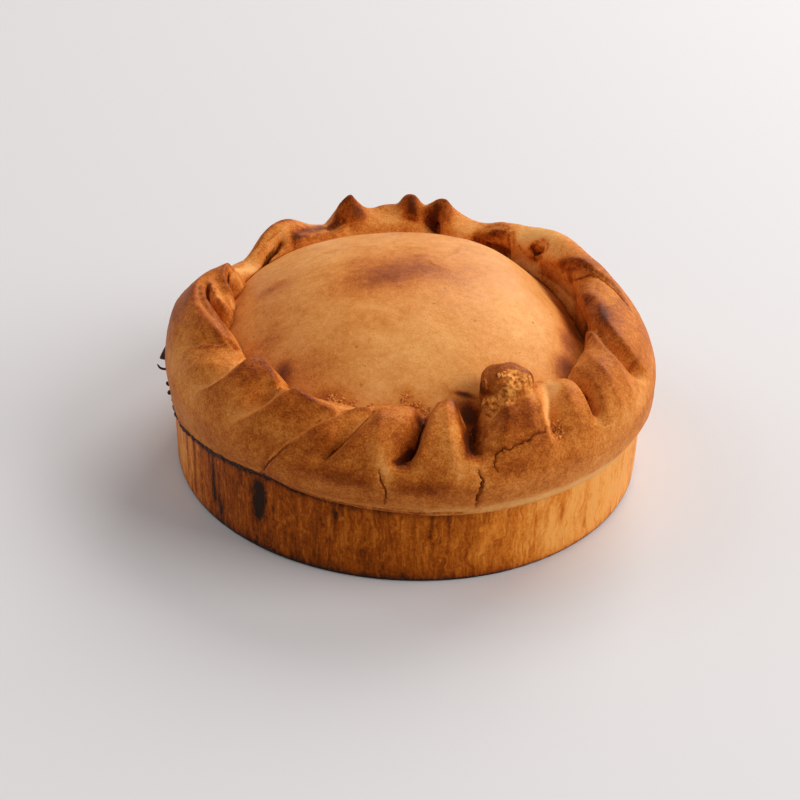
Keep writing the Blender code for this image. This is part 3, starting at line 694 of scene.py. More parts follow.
def settle(obj: Object) -> Object:
    """Turns an object's modifiers into plain mesh.

    Args:
        obj: The object.

    Returns:
        The same object with a plain mesh and no modifiers.
    """
    graph = bpy.context.evaluated_depsgraph_get()
    shown = obj.evaluated_get(graph)
    mesh = bpy.data.meshes.new_from_object(shown, preserve_all_data_layers=True, depsgraph=graph)
    mesh.name = obj.name
    obj.modifiers.clear()
    obj.data = mesh
    return obj


def merge(name: str, objects: Sequence[Object]) -> Object:
    """Makes one object of several.

    Args:
        name: Name of the object and its mesh.
        objects: Mesh objects at the origin.

    Returns:
        The first object, with every mesh in it.
    """
    bm = bmesh.new()
    for obj in objects:
        bm.from_mesh(obj.data)
    bm.to_mesh(objects[0].data)
    bm.free()
    for obj in objects[1:]:
        bpy.data.objects.remove(obj)
    objects[0].name = objects[0].data.name = name
    return objects[0]


def dress(obj: Object, material: Material) -> Object:
    """Gives an object one material and smooth shading.

    Args:
        obj: The object.
        material: Its material.

    Returns:
        The same object.
    """
    obj.data.materials.clear()
    obj.data.materials.append(material)
    obj.data.shade_smooth()
    return obj


def vectors_of(mesh: Mesh, kind: str) -> Array:
    """Vectors stored at a mesh's vertices.

    Args:
        mesh: The mesh.
        kind: "co" for positions or "normal" for normals.

    Returns:
        An (n, 3) array.
    """
    out = np.empty(len(mesh.vertices) * 3, np.float32)
    mesh.vertices.foreach_get(kind, out)
    return out.reshape(-1, 3).astype(float)


def points_of(mesh: Mesh) -> Array:
    """Vertex positions as an (n, 3) array."""
    return vectors_of(mesh, "co")


def set_points(mesh: Mesh, points: Array) -> None:
    """Moves a mesh's vertices to new positions."""
    mesh.vertices.foreach_set("co", np.asarray(points, np.float32).ravel())
    mesh.update()


def relaxed(mesh: Mesh, values: Array, rounds: int) -> Array:
    """Values at a mesh's vertices, each averaged with its neighbours again and again.

    Args:
        mesh: The mesh.
        values: (n,) or (n, k) values.
        rounds: Number of averagings.

    Returns:
        Averaged values of the same shape.
    """
    edges = np.empty(len(mesh.edges) * 2, np.int32)
    mesh.edges.foreach_get("vertices", edges)
    a, b = edges.reshape(-1, 2).T
    n = len(mesh.vertices)
    degree = np.maximum(np.bincount(a, minlength=n) + np.bincount(b, minlength=n), 1)
    table = values.reshape(n, -1).astype(float)
    for _ in range(rounds):
        for c in range(table.shape[1]):
            row = table[:, c]
            total = np.bincount(a, row[b], n) + np.bincount(b, row[a], n)
            table[:, c] = 0.5 * row + 0.5 * total / degree
    return table.reshape(values.shape)


def triangles_of(mesh: Mesh) -> int:
    """Number of triangles that a mesh's faces come to."""
    return sum(len(face.vertices) - 2 for face in mesh.polygons)


def paint(mesh: Mesh, name: str, values: Array) -> None:
    """Stores a number at every vertex under a name that a material reads."""
    layer = mesh.attributes.get(name) or mesh.attributes.new(name, "FLOAT", "POINT")
    layer.data.foreach_set("value", np.asarray(values, np.float32))


def lumps(points: Array, size_mm: float, seed: float) -> Array:
    """Smooth noise between about -1 and 1.

    Args:
        points: Points in metres.
        size_mm: Size of one lump.
        seed: Moves the pattern.

    Returns:
        One value per point.
    """
    k = 1 / (size_mm * MM)
    shift = Vector((seed, 1.7 * seed, -seed))
    return np.array([noise.noise(Vector(p) * k + shift) for p in points])


def wandering(count: int, step: float, x: float, y: float, z: float) -> Array:
    """Smooth noise at steps along a line that starts at (x, y, z)."""
    return np.array([noise.noise(Vector((i * step + x, y, z))) for i in range(count)])


# --------------------------------------------------------------------------- node graphs
class Graph:
    """Adds and joins the nodes of one tree."""

    def __init__(self, tree: NodeTree) -> None:
        """Takes the tree to fill."""
        self.tree = tree

    def node(self, kind: str, inputs: Optional[dict] = None, **settings) -> Node:
        """Adds a node.

        Args:
            kind: Blender's name for the node type.
            inputs: Input name or number to a constant or an output socket.
            settings: Properties of the node.

        Returns:
            The node.
        """
        made = self.tree.nodes.new(kind)
        for key, value in settings.items():
            setattr(made, key, value)
        for key, value in (inputs or {}).items():
            self.feed(made.inputs[key], value)
        return made

    def out(self, kind: str, inputs: Optional[dict] = None, socket: object = 0, **settings) -> NodeSocket:
        """Adds a node and gives one of its outputs.

        Args:
            kind: Blender's name for the node type.
            inputs: Input name or number to a constant or an output socket.
            socket: Name or number of the output.
            settings: Properties of the node.

        Returns:
            The output.
        """
        return self.node(kind, inputs, **settings).outputs[socket]

    def feed(self, socket: NodeSocket, value: object) -> None:
        """Links an output to a socket, or sets the socket's constant.

        Args:
            socket: The input to feed.
            value: An output, a constant, or None to leave it.
        """
        if isinstance(value, NodeSocket):
            self.tree.links.new(value, socket)
        elif value is not None:
            socket.default_value = value

    def calc(self, operation: str, *values: object, clamp: bool = False) -> NodeSocket:
        """Result of a math node on constants or sockets."""
        return self.out("ShaderNodeMath", dict(enumerate(values)), operation=operation, use_clamp=clamp)

    def plus(self, *values: object) -> NodeSocket:
        """Sum of constants or sockets."""
        return reduce(lambda a, b: self.calc("ADD", a, b), values)

    def times(self, *values: object) -> NodeSocket:
        """Product of constants or sockets."""
        return reduce(lambda a, b: self.calc("MULTIPLY", a, b), values)

    def minus(self, a: object, b: object) -> NodeSocket:
        """Difference of two constants or sockets."""
        return self.calc("SUBTRACT", a, b)

    def over(self, a: object, b: object) -> NodeSocket:
        """Quotient of two constants or sockets."""
        return self.calc("DIVIDE", a, b)

    def swing(self, value: object, amount: object) -> NodeSocket:
        """Noise between 0 and 1 made to swing round nothing by an amount."""
        return self.times(self.minus(value, 0.5), amount)

    def vector(self, x: object, y: object, z: object) -> NodeSocket:
        """Vector from three numbers or sockets."""
        return self.out("ShaderNodeCombineXYZ", {0: x, 1: y, 2: z})

    def vector_calc(self, operation: str, inputs: dict) -> NodeSocket:
        """Result of a vector math node."""
        return self.out("ShaderNodeVectorMath", inputs, operation=operation)

    def clouds(self, vector: object, scale: float, detail: float, rough: float) -> NodeSocket:
        """Noise between 0 and 1.

        Args:
            vector: Where it is read.
            scale: Lumps per metre.
            detail: Number of finer layers.
            rough: Strength of the finer layers.

        Returns:
            Its value.
        """
        inputs = {"Vector": vector, "Scale": scale, "Detail": detail, "Roughness": rough}
        return self.out("ShaderNodeTexNoise", inputs)

    def between(self, value: object, low: float, high: float, to_low: float, to_high: float) -> NodeSocket:
        """Smooth step from one range to another.

        Args:
            value: Socket to map.
            low: Value that gives to_low.
            high: Value that gives to_high.
            to_low: Lowest result.
            to_high: Highest result.

        Returns:
            The mapped value.
        """
        inputs = {0: value, 1: low, 2: high, 3: to_low, 4: to_high}
        return self.out("ShaderNodeMapRange", inputs, interpolation_type="SMOOTHSTEP")


class Finish(Graph):
    """A Principled material under construction."""

    def __init__(self, name: str, roughness: float, specular: float, gloss: Triple = (1.0, 1.0, 1.0)) -> None:
        """Makes the material and its shader.

        Args:
            name: Name of the material.
            roughness: Constant roughness, unless a node is linked later.
            specular: Specular level.
            gloss: Colour of its reflections.
        """
        self.material = bpy.data.materials.new(name)
        self.material.use_nodes = True
        super().__init__(self.material.node_tree)
        self.shader = self.tree.nodes["Principled BSDF"]
        self.shader.inputs["Roughness"].default_value = roughness
        self.shader.inputs["Specular IOR Level"].default_value = specular
        self.shader.inputs["Specular Tint"].default_value = (*gloss, 1.0)
        self.place = self.out("ShaderNodeTexCoord", socket="Object")

    def mark(self, name: str) -> NodeSocket:
        """Value painted on the vertices under a name."""
        return self.out("ShaderNodeAttribute", socket="Fac", attribute_name=name)

    def speckled(self, *layers: tuple[object, float]) -> NodeSocket:
        """The painted browning, with the painted shade laid in it, made uneven.

        Args:
            layers: (noise, how far it swings the browning) pairs.

        Returns:
            Browning, with any painted shade, between 0 and 1.
        """
        bake = self.mark("bake")
        for number, (cloud, amount) in enumerate(layers, 1):
            bake = self.calc("ADD", bake, self.swing(cloud, amount), clamp=number == len(layers))
        return bake

    def ramp(self, value: object, stops: Sequence[tuple[float, Bake]]) -> NodeSocket:
        """Colour from a value through bake colours.

        Args:
            value: Socket between 0 and 1.
            stops: (place, colour) pairs in rising order.

        Returns:
            The colour.
        """
        made = self.node("ShaderNodeValToRGB", {0: value})
        band = made.color_ramp
        while len(band.elements) < len(stops):
            band.elements.new(1.0)
        for element, (place, bake) in zip(band.elements, stops):
            element.position = place
            element.color = bake.rgba()
        return made.outputs[0]

    def tint(self, amount: object, colour: object, other: object) -> NodeSocket:
        """Mixes two colours by a share of the second one."""
        inputs = {0: amount, 6: colour, 7: other}
        return self.out("ShaderNodeMix", inputs, 2, data_type="RGBA", blend_type="MIX")

    def relief(self, *layers: tuple[object, float, float]) -> NodeSocket:
        """Bumps laid over each other.

        Args:
            layers: (height between 0 and 1, millimetres of 1, share that shows) of each.

        Returns:
            The bent normal.
        """
        bent = None
        for height, tall, strength in layers:
            inputs = {"Strength": strength, "Distance": tall * MM, "Height": height, "Normal": bent}
            bent = self.out("ShaderNodeBump", inputs)
        return bent

    def done(self, colour: object, normal: object = None, roughness: object = None) -> Material:
        """Joins the parts to the shader.

        Args:
            colour: Base colour.
            normal: Bent normal.
            roughness: Roughness, where it varies.

        Returns:
            The material.
        """
        self.feed(self.shader.inputs["Base Color"], colour)
        self.feed(self.shader.inputs["Normal"], normal)
        self.feed(self.shader.inputs["Roughness"], roughness)
        return self.material


# The darkest stops, BURNT and SCORCHED, are reached where browning and painted shade in grooves and pockets
# add up.
CRUST_STOPS = (
    (0.0, Bake.FLOUR), (0.15, Bake.PALE), (0.32, Bake.GOLDEN), (0.48, Bake.AMBER),
    (0.64, Bake.BROWN), (0.80, Bake.DARK), (0.91, Bake.BURNT), (1.0, Bake.SCORCHED),
)
TORN_STOPS = (
    (0.30, Bake.DARK), (0.38, Bake.BROWN), (0.44, Bake.AMBER), (0.52, Bake.GOLDEN), (0.60, Bake.HONEY),
)
WALL_STOPS = (
    (0.0, Bake.PALE), (0.18, Bake.HONEY), (0.42, Bake.FRIED), (0.66, Bake.CARAMEL),
    (0.88, Bake.TREACLE), (1.0, Bake.CHAR),
)
CRUMB_STOPS = ((0.32, Bake.BROWN), (0.42, Bake.AMBER), (0.52, Bake.GOLDEN), (0.64, Bake.HONEY))
CHAR_STOPS = ((0.35, Bake.CHAR), (0.75, Bake.SCORCHED))


@dataclass(frozen=True)
class RimFinish:
    """Browned, slightly floury pastry of the rim. Reads the marks bake and crumb."""

    roughness: float = 0.52
    specular: float = 0.13
    gloss: Triple = (1.0, 0.50, 0.16)

    def material(self) -> Material:
        """Makes the material.

        Returns:
            The material.
        """
        f = Finish("rim_crust_finish", self.roughness, self.specular, self.gloss)
        wide = f.clouds(f.place, 70.0, 3.0, 0.55)
        fine = f.clouds(f.place, 420.0, 4.0, 0.62)
        grain = f.clouds(f.place, 1500.0, 2.0, 0.6)
        bake = f.speckled((wide, 0.40), (fine, 0.50), (grain, 0.62))
        torn = f.ramp(f.clouds(f.place, 620.0, 3.0, 0.6), TORN_STOPS)
        colour = f.tint(f.between(f.mark("crumb"), 0.15, 0.5, 0.0, 0.85), f.ramp(bake, CRUST_STOPS), torn)
        bump = f.relief((fine, 0.5, 0.5), (grain, 0.25, 0.6))
        return f.done(colour, bump, f.between(bake, 0.3, 0.9, 0.60, 0.46))


@dataclass(frozen=True)
class LidFinish:
    """Golden egg-washed pastry of the lid. Reads the mark bake."""

    roughness: float = 0.42
    specular: float = 0.25
    gloss: Triple = (1.0, 0.66, 0.30)

    def material(self) -> Material:
        """Makes the material.

        Returns:
            The material.
        """
        f = Finish("lid_crust_finish", self.roughness, self.specular, self.gloss)
        wide = f.clouds(f.place, 38.0, 3.0, 0.55)
        patch = f.clouds(f.place, 120.0, 4.0, 0.6)
        fine = f.clouds(f.place, 420.0, 4.0, 0.65)
        grain = f.clouds(f.place, 1500.0, 2.0, 0.6)
        bake = f.speckled((wide, 0.30), (patch, 0.36), (fine, 0.40), (grain, 0.40))
        speck = f.out("ShaderNodeTexVoronoi", {"Vector": f.place, "Scale": 130.0}, "Distance")
        speck = f.between(speck, 0.11, 0.04, 0.0, 0.6)
        colour = f.tint(speck, f.ramp(bake, CRUST_STOPS), Bake.BROWN.rgba())
        bump = f.relief((patch, 0.6, 0.35), (fine, 0.35, 0.45), (grain, 0.14, 0.5))
        return f.done(colour, bump, f.between(wide, 0.35, 0.65, 0.52, 0.40))


@dataclass(frozen=True)
class WallFinish:
    """Fried, streaked side of the case. Reads the mark bake."""

    roughness: float = 0.5
    specular: float = 0.15
    gloss: Triple = (1.0, 0.45, 0.08)
    sway: float = 0.009

    def material(self) -> Material:
        """Makes the material.

        Returns:
            The material.
        """
        f = Finish("side_wall_finish", self.roughness, self.specular, self.gloss)
        sway = f.swing(f.clouds(f.place, 70.0, 3.0, 0.6), self.sway)
        xyz = f.node("ShaderNodeSeparateXYZ", {0: f.place}).outputs
        x, y = f.plus(xyz[0], sway), f.plus(xyz[1], sway)
        wide, streak, line = (
            f.clouds(f.vector(x, y, f.times(xyz[2], stretch)), scale, detail, rough)
            for stretch, scale, detail, rough in (
                (0.22, 110.0, 4.0, 0.62), (0.13, 420.0, 4.0, 0.65), (0.12, 1000.0, 2.0, 0.6))
        )
        patch = f.clouds(f.place, 75.0, 4.0, 0.65)
        grain = f.clouds(f.place, 900.0, 3.0, 0.65)
        bake = f.speckled((wide, 0.60), (streak, 0.55), (patch, 0.26), (grain, 0.34), (line, 0.50))
        bump = f.relief((streak, 0.6, 0.5), (line, 0.25, 0.5))
        return f.done(f.ramp(bake, WALL_STOPS), bump, f.between(streak, 0.3, 0.7, 0.44, 0.60))


@dataclass(frozen=True)
class TrimFinish:
    """Small trim of one noisy colour: burnt juice and flakes, or loose crumbs."""

    name: str = "char_finish"
    roughness: float = 0.55
    specular: float = 0.3
    clouds: Triple = (700.0, 3.0, 0.6)
    stops: tuple[tuple[float, Bake], ...] = CHAR_STOPS
    bump: Pair = (0.3, 0.6)

    def material(self) -> Material:
        """Makes the material.

        Returns:
            The material.
        """
        f = Finish(self.name, self.roughness, self.specular)
        fine = f.clouds(f.place, *self.clouds)
        return f.done(f.ramp(fine, self.stops), f.relief((fine, *self.bump)))


CHAR_FINISH = TrimFinish()
CRUMB_FINISH = TrimFinish("crumb_finish", 0.7, 0.2, (500.0, 2.0, 0.6), CRUMB_STOPS, (0.2, 0.5))


# --------------------------------------------------------------------------- geometry trees
class GeoTree(Graph):
    """A Geometry Nodes tree with named inputs, one for each size of the part it makes."""

    KINDS = {
        float: "NodeSocketFloat",
        int: "NodeSocketInt",
        Material: "NodeSocketMaterial",
    }

    def __init__(self, name: str, part: object, material: Material) -> None:
        """Makes the tree and its inputs.

        Args:
            name: Name of the tree.
            part: Dataclass whose sizes the tree takes.
            material: Material that the tree sets.
        """
        tree = bpy.data.node_groups.new(name, "GeometryNodeTree")
        super().__init__(tree)
        for way in ("INPUT", "OUTPUT"):
            tree.interface.new_socket("Geometry", in_out=way, socket_type="NodeSocketGeometry")
        sizes = {field.name.replace("_", " ").title(): getattr(part, field.name) for field in fields(part)}
        self.sizes = {**sizes, "Material": material}
        for key, value in self.sizes.items():
            tree.interface.new_socket(key, in_out="INPUT", socket_type=self.KINDS[type(value)])
        self.inputs = tree.nodes.new("NodeGroupInput").outputs
        self.end = tree.nodes.new("NodeGroupOutput")

    def position(self) -> NodeOutputs:
        """The three parts of a point's position."""
        return self.node("ShaderNodeSeparateXYZ", {0: self.out("GeometryNodeInputPosition")}).outputs

    def from_axis(self, xyz: NodeOutputs) -> NodeSocket:
        """Distance of a point from the upright axis, never quite 0."""
        square = self.plus(self.times(xyz[0], xyz[0]), self.times(xyz[1], xyz[1]))
        return self.calc("SQRT", self.calc("MAXIMUM", square, 1e-12))

    def moved(self, geometry: object, **inputs: object) -> NodeSocket:
        """Geometry with its points at a new Position, or moved by an Offset."""
        return self.out("GeometryNodeSetPosition", {"Geometry": geometry, **inputs})

    def finish(self, geometry: NodeSocket, smooth: bool = True) -> "GeoTree":
        """Ends the tree in Realize Instances and Set Material.

        Args:
            geometry: The finished geometry.
            smooth: Whether its faces are shaded smooth.

        Returns:
            The tree.
        """
        if smooth:
            geometry = self.out("GeometryNodeSetShadeSmooth", {0: geometry})
        whole = self.out("GeometryNodeRealizeInstances", {0: geometry})
        inputs = {"Geometry": whole, "Material": self.inputs["Material"]}
        self.tree.links.new(self.out("GeometryNodeSetMaterial", inputs), self.end.inputs[0])
        return self

    def run(self, obj: Object) -> Object:
        """Runs the tree on an object and keeps the result as its mesh.

        Args:
            obj: The object whose mesh goes in.

        Returns:
            The same object, with the plain result.
        """
        mod = obj.modifiers.new(self.tree.name, "NODES")
        mod.node_group = self.tree
        items = self.tree.interface.items_tree
        sockets = {item.name: item.identifier for item in items if item.in_out == "INPUT"}
        for key, value in self.sizes.items():
            mod[sockets[key]] = value
        return settle(obj)


# --------------------------------------------------------------------------- the lid
@dataclass
class DomedLid:
    """The lid: a dome of dough whose edge runs under the rim's lip."""

    edge_radius: float = 0.0765
    lip_radius: float = 0.0688
    crown: float = 0.0782
    lip_height: float = 0.0550
    steepness: float = 2.45
    thickness: float = 0.0050
    swell: float = 0.0009
    grow: float = 0.0
    segments: int = 400
    rings: int = 150
    top_share: float = 0.85

    def tree(self, material: Material) -> GeoTree:
        """Geometry Nodes tree that shapes a ball into the dome.

        Args:
            material: Material of the surface.

        Returns:
            The tree.
        """
        g = GeoTree("lid dome", self, material)
        size = g.inputs
        ball = {"Segments": size["Segments"], "Rings": size["Rings"], "Radius": 1.0}
        xyz = g.position()
        level = g.calc("MINIMUM", g.calc("MAXIMUM", xyz[2], -1.0), 1.0)
        down = g.over(g.calc("ARCCOSINE", level), math.pi)
        under = g.calc("GREATER_THAN", down, self.top_share + 1e-4)
        from_rim = g.over(g.minus(1.0, down), 1.0 - self.top_share)
        share = g.calc("MINIMUM", g.over(down, self.top_share), from_rim)
        radius = g.times(share, g.plus(size["Edge Radius"], size["Grow"]))
        away = g.from_axis(xyz)
        x, y = g.times(g.over(xyz[0], away), radius), g.times(g.over(xyz[1], away), radius)
        fall = g.calc("POWER", g.over(radius, size["Lip Radius"]), size["Steepness"])
        height = g.minus(size["Crown"], g.times(fall, g.minus(size["Crown"], size["Lip Height"])))
        place = g.vector(x, y, 0.0)
        wave = g.minus(g.clouds(place, 28.0, 2.0, 0.5), 0.5)
        wave = g.plus(wave, g.swing(g.clouds(place, 110.0, 3.0, 0.5), 0.35))
        height = g.plus(height, g.times(wave, size["Swell"]), size["Grow"])
        drop = g.plus(size["Thickness"], g.times(size["Grow"], 2.0))
        height = g.minus(height, g.times(under, drop))
        dome = g.out("GeometryNodeMeshUVSphere", ball, "Mesh")
        return g.finish(g.moved(dome, Position=g.vector(x, y, height)))

    def space(self, material: Material) -> Object:
        """The space the lid needs in the rim.

        Args:
            material: Material of the cut faces.

        Returns:
            A cutter.
        """
        bigger = replace(self, grow=GAP, segments=200, rings=60)
        cutter = bigger.tree(material).run(new_object("lid_space"))
        set_points(cutter.data, self.sagged(points_of(cutter.data)))
        return cutter

    @staticmethod
    def sagged(points: Array) -> Array:
        """Lowers the lid's edge where it sank into the filling.

        Args:
            points: Points in metres.

        Returns:
            Moved points.
        """
        out = points.copy()
        x = ramped(np.hypot(out[:, 0], out[:, 1]) / BASE_RADIUS, 0.40, 0.36)
        out[:, 2] -= glide_round(bearing(out), LID_SAG) * MM * x * x * (3 - 2 * x)
        return out

    @staticmethod
    def bake_marks(points: Array) -> Array:
        """How browned each point of the lid is, with painted shade where it meets the rim.

        Args:
            points: Points in metres.

        Returns:
            Values, 0 pale to 1 burnt.
        """
        x, y = points[:, 0] / BASE_RADIUS, points[:, 1] / BASE_RADIUS
        bake = LID_BAKE + 0.0 * x
        for (cx, cy), (wx, wy), amount in LID_PATCHES:
            bake += amount * np.exp(-(((x - cx) / wx) ** 2) - (((y - cy) / wy) ** 2))
        return bake + LID_EDGE_BAKE * ramped(np.hypot(x, y), 0.70, 0.06) * np.clip(0.2 + y, 0, 1)

    @staticmethod
    def wrinkled(points: Array) -> Array:
        """Raises the shallow ripples that the dough dried into.

        Args:
            points: Points in metres.

        Returns:
            Moved points.
        """
        out = points.copy()
        for path, height, width in LID_RIPPLES:
            line = spline(path, 60)[:, None, :] * BASE_RADIUS
            d = np.sqrt(((out[None, :, :2] - line) ** 2).sum(-1))
            fade = np.sin(np.pi * np.clip((d.argmin(0) + 0.5) / 60, 0, 1)) ** 0.6
            out[:, 2] += height * MM * fade * hill(d.min(0), 0, width * MM)
        return out

    def build(self) -> Object:
        """Makes the lid.

        Returns:
            The finished piece.
        """
        lid = self.tree(LidFinish().material()).run(new_object("domed_lid"))
        points = self.wrinkled(self.sagged(points_of(lid.data)))
        set_points(lid.data, points)
        paint(lid.data, "bake", self.bake_marks(points))
        return lid


LID_BAKE = 0.29
LID_EDGE_BAKE = 0.12
# Browner and paler places, some of them painted shade by the rim: (x, y) and half widths in base radii,
# amount.
LID_PATCHES = (
    ((-0.05, 0), (0.2, 0.13), 0.26), ((-0.15, -0.14), (0.15, 0.1), 0.34),
    ((0.02, -0.04), (0.12, 0.08), 0.14), ((-0.3, 0.02), (0.16, 0.08), 0.06),
    ((-0.58, 0), (0.08, 0.05), 0.22), ((-0.17, -0.4), (0.1, 0.06), 0.12),
    ((-0.3, -0.685), (0.04, 0.022), 0.24), ((-0.255, -0.712), (0.04, 0.018), 0.24),
    ((-0.1, -0.735), (0.05, 0.016), 0.18), ((-0.023, -0.695), (0.035, 0.025), 0.2),
    ((0.02, -0.735), (0.03, 0.016), 0.34), ((-0.42, -0.56), (0.16, 0.08), 0.22),
    ((-0.33, -0.67), (0.08, 0.03), 0.24), ((-0.59, -0.38), (0.07, 0.12), 0.24),
    # (0.225, -0.735) darkens the lid's floor in groove G against the rim: painted shadow
    ((-0.5, -0.53), (0.035, 0.05), 0.5), ((0.225, -0.735), (0.045, 0.045), 0.85),
    ((-0.64, -0.2), (0.1, 0.2), 0.04), ((-0.4, 0.4), (0.26, 0.18), -0.1),
    ((-0.36, 0.12), (0.14, 0.08), -0.06), ((0.36, 0.3), (0.22, 0.26), -0.06),
    ((0.45, -0.25), (0.2, 0.22), -0.12), ((0.05, -0.5), (0.24, 0.12), -0.1),
    ((0.2, -0.08), (0.14, 0.16), 0.08), ((0.205, -0.672), (0.04, 0.009), 0.75),
    # the patches from (0.63, -0.37) to (0.59, -0.4) darken the lid's right edge under the rim's tips: partly
    # browning, partly painted shade
    ((0.63, -0.37), (0.035, 0.05), 0.4), ((0.66, 0.14), (0.05, 0.22), 0.34),
    ((0.67, -0.06), (0.045, 0.12), 0.36), ((0.63, -0.22), (0.045, 0.12), 0.42),
    ((0.59, -0.4), (0.045, 0.07), 0.36),
)
# Angle, and how far the lid's edge sank (or, below 0, swelled) there in millimetres.
LID_SAG = (
    (-60, 0), (-35, 1), (-10, 6.5), (10, 12), (22, 12), (33, 8.5), (44, 5), (55, 2), (68, 0.5), (90, 0),
    (108, -0.6), (124, -2), (140, -2.8), (152, -2.2), (166, -0.8), (180, 0), (-120, 0),
)
# (x, y) points in base radii, height and half width in millimetres.
LID_RIPPLES = (
    (((-0.2, 0.16), (-0.08, 0.19), (0.04, 0.17), (0.14, 0.2)), 0.45, 1.5),
    (((-0.14, 0.22), (-0.03, 0.24), (0.04, 0.2)), 0.4, 1.4),
    (((-0.46, 0.2), (-0.28, 0.22), (-0.1, 0.19)), 0.25, 1.8),
    (((0.1, 0.05), (0.18, 0.16), (0.2, 0.28)), 0.22, 1.2),
    (((0.02, 0.1), (0.1, 0), (0.2, -0.06)), 0.2, 1),
)


# --------------------------------------------------------------------------- the wall
@dataclass
class SideWall:
    """The straight side of the case, and the flat base it stands on."""

    radius: float = 0.0900
    flare: float = 0.0007
    drawn_in: float = 0.0016
    height: float = 0.0365
    groove: float = 0.00035
    foot: float = 0.0005
    segments: int = 900
    levels: int = 26

    def tree(self, material: Material) -> GeoTree:
        """Geometry Nodes tree that shapes a cylinder into the wall.

        Args:
            material: Material of the surface.

        Returns:
            The tree.
        """
        g = GeoTree("case wall", self, material)
        size = g.inputs
        drum = {"Vertices": size["Segments"], "Side Segments": size["Levels"], "Fill Segments": 3,
                "Radius": 1.0, "Depth": 1.0}
        xyz = g.position()
        level = g.plus(xyz[2], 0.5)
        upright = g.vector(g.times(xyz[0], 0.09), g.times(xyz[1], 0.09), g.times(level, 0.0045))
        ripple = g.minus(g.clouds(upright, 330.0, 3.0, 0.6), 0.5)
        wave = g.minus(g.clouds(upright, 70.0, 2.0, 0.5), 0.5)
        rough = g.plus(g.times(ripple, size["Groove"]), g.times(wave, size["Groove"], 2.0))
        up = g.between(level, 0.0, 0.03, 0.0, 1.0)
        side = g.between(g.over(xyz[0], g.from_axis(xyz)), 0.2, 1.0, 0.0, 1.0)
        wide = g.plus(size["Radius"], g.times(size["Flare"], level))
        wide = g.minus(wide, g.times(side, size["Drawn In"]))
        wide = g.minus(g.plus(wide, g.times(rough, up)), g.times(g.minus(1.0, up), size["Foot"]))
        place = g.vector(g.times(xyz[0], wide), g.times(xyz[1], wide), g.times(level, size["Height"]))
        return g.finish(g.moved(g.out("GeometryNodeMeshCylinder", drum, "Mesh"), Position=place))

    @staticmethod
    def bake_marks(points: Array) -> Array:
        """How browned each point of the wall is.

        Args:
            points: Points in metres.

        Returns:
            Values, 0 pale to 1 burnt.
        """
        angle, z = bearing(points), points[:, 2]
        bake = glide_round(angle, WALL_BAKE)
        bake += 0.35 * hill(z, 0, 0.0011) + 0.14 * hill(z, 0, 0.004)
        under = np.maximum(SKIN.seam_height(angle) - z, 0)
        bake += glide_round(angle, SEAM_BAKE) * hill(under, 0, 0.0016)
        for centre, width, low, high, amount in WALL_DRIPS:
            side = hill(turned(angle - centre), 0, width)
            bake += amount * side * ramped(z, low, 0.004) * ramped(-z, -high, 0.004)
        return bake

    def build(self) -> Object:
        """Makes the wall.

        Returns:
            The finished piece.
        """
        wall = self.tree(WallFinish().material()).run(new_object("side_wall"))
        paint(wall.data, "bake", self.bake_marks(points_of(wall.data)))
        return wall


# Browning round the wall, and just under the seam: (angle, amount).
WALL_BAKE = (
    (-175, 0.34), (-150, 0.46), (-138, 0.74), (-128, 0.76), (-118, 0.68), (-100, 0.66), (-85, 0.64),
    (-70, 0.52), (-50, 0.2), (-30, 0.2), (0, 0.28), (60, 0.46), (120, 0.52),
)
SEAM_BAKE = (
    (-175, 0.4), (-140, 0.45), (-120, 0.4), (-100, 0.22), (-80, 0.1), (-60, 0), (-20, 0), (60, 0.1),
    (140, 0.3),
)
# Streaks where juice ran: angle, half width in degrees, lowest and highest place in metres, amount.
WALL_DRIPS = (
    (-124.8, 1.4, 0.011, 0.031, 0.5), (-123.4, 0.7, 0.016, 0.031, 0.25),
    (-140.2, 0.6, 0.006, 0.034, 0.34), (-138, 0.6, 0.004, 0.014, 0.3), (-149.5, 0.8, 0.002, 0.033, 0.3),
    (-154, 0.8, 0.004, 0.033, 0.25), (-105.5, 0.7, 0.02, 0.03, 0.28), (-106.5, 0.7, 0.01, 0.017, 0.2),
    (-52, 0.9, 0.012, 0.026, 0.28), (-43.5, 0.8, 0.003, 0.012, 0.3), (-59.5, 0.4, 0.004, 0.024, 0.18),
    (-84.4, 0.4, 0.015, 0.03, 0.2), (-80.5, 0.4, 0.016, 0.031, 0.18), (-67, 0.3, 0.012, 0.03, 0.16),
    (-51, 2.5, 0.023, 0.029, 0.2),
)


# --------------------------------------------------------------------------- the rim
@dataclass(frozen=True)
class Knob:
    """The torn end of the thickest pleat: a squarish rounded lump."""

    angle: float = -62.4
    radius: float = 0.795
    height: float = 0.706
    half: Triple = (9.2, 8.8, 8.6)
    rough: float = 0.12
    square: float = 2.6
    seed: float = 3.0

    def build(self) -> Object:
        """Makes the knob.

        Returns:
            A closed body.
        """
        bm = bmesh.new()
        bmesh.ops.create_icosphere(bm, subdivisions=5, radius=1.0)
        for v in bm.verts:
            d = v.co.normalized()
            size = sum(abs(c) ** self.square for c in d) ** (-1 / self.square)
            bump = noise.noise(d * 1.9 + Vector((self.seed, 2 * self.seed, 0)))
            v.co = d * size * (1 + self.rough * bump)
        mesh = bpy.data.meshes.new("knob")
        bm.to_mesh(mesh)
        bm.free()
        place = Matrix.Translation((self.radius * BASE_RADIUS, 0, self.height * BASE_RADIUS))
        turn = Matrix.Rotation(math.radians(self.angle), 4, "Z")
        mesh.transform(turn @ place @ Matrix.Diagonal((*(h * MM for h in self.half), 1)))
        return new_object("knob", mesh)


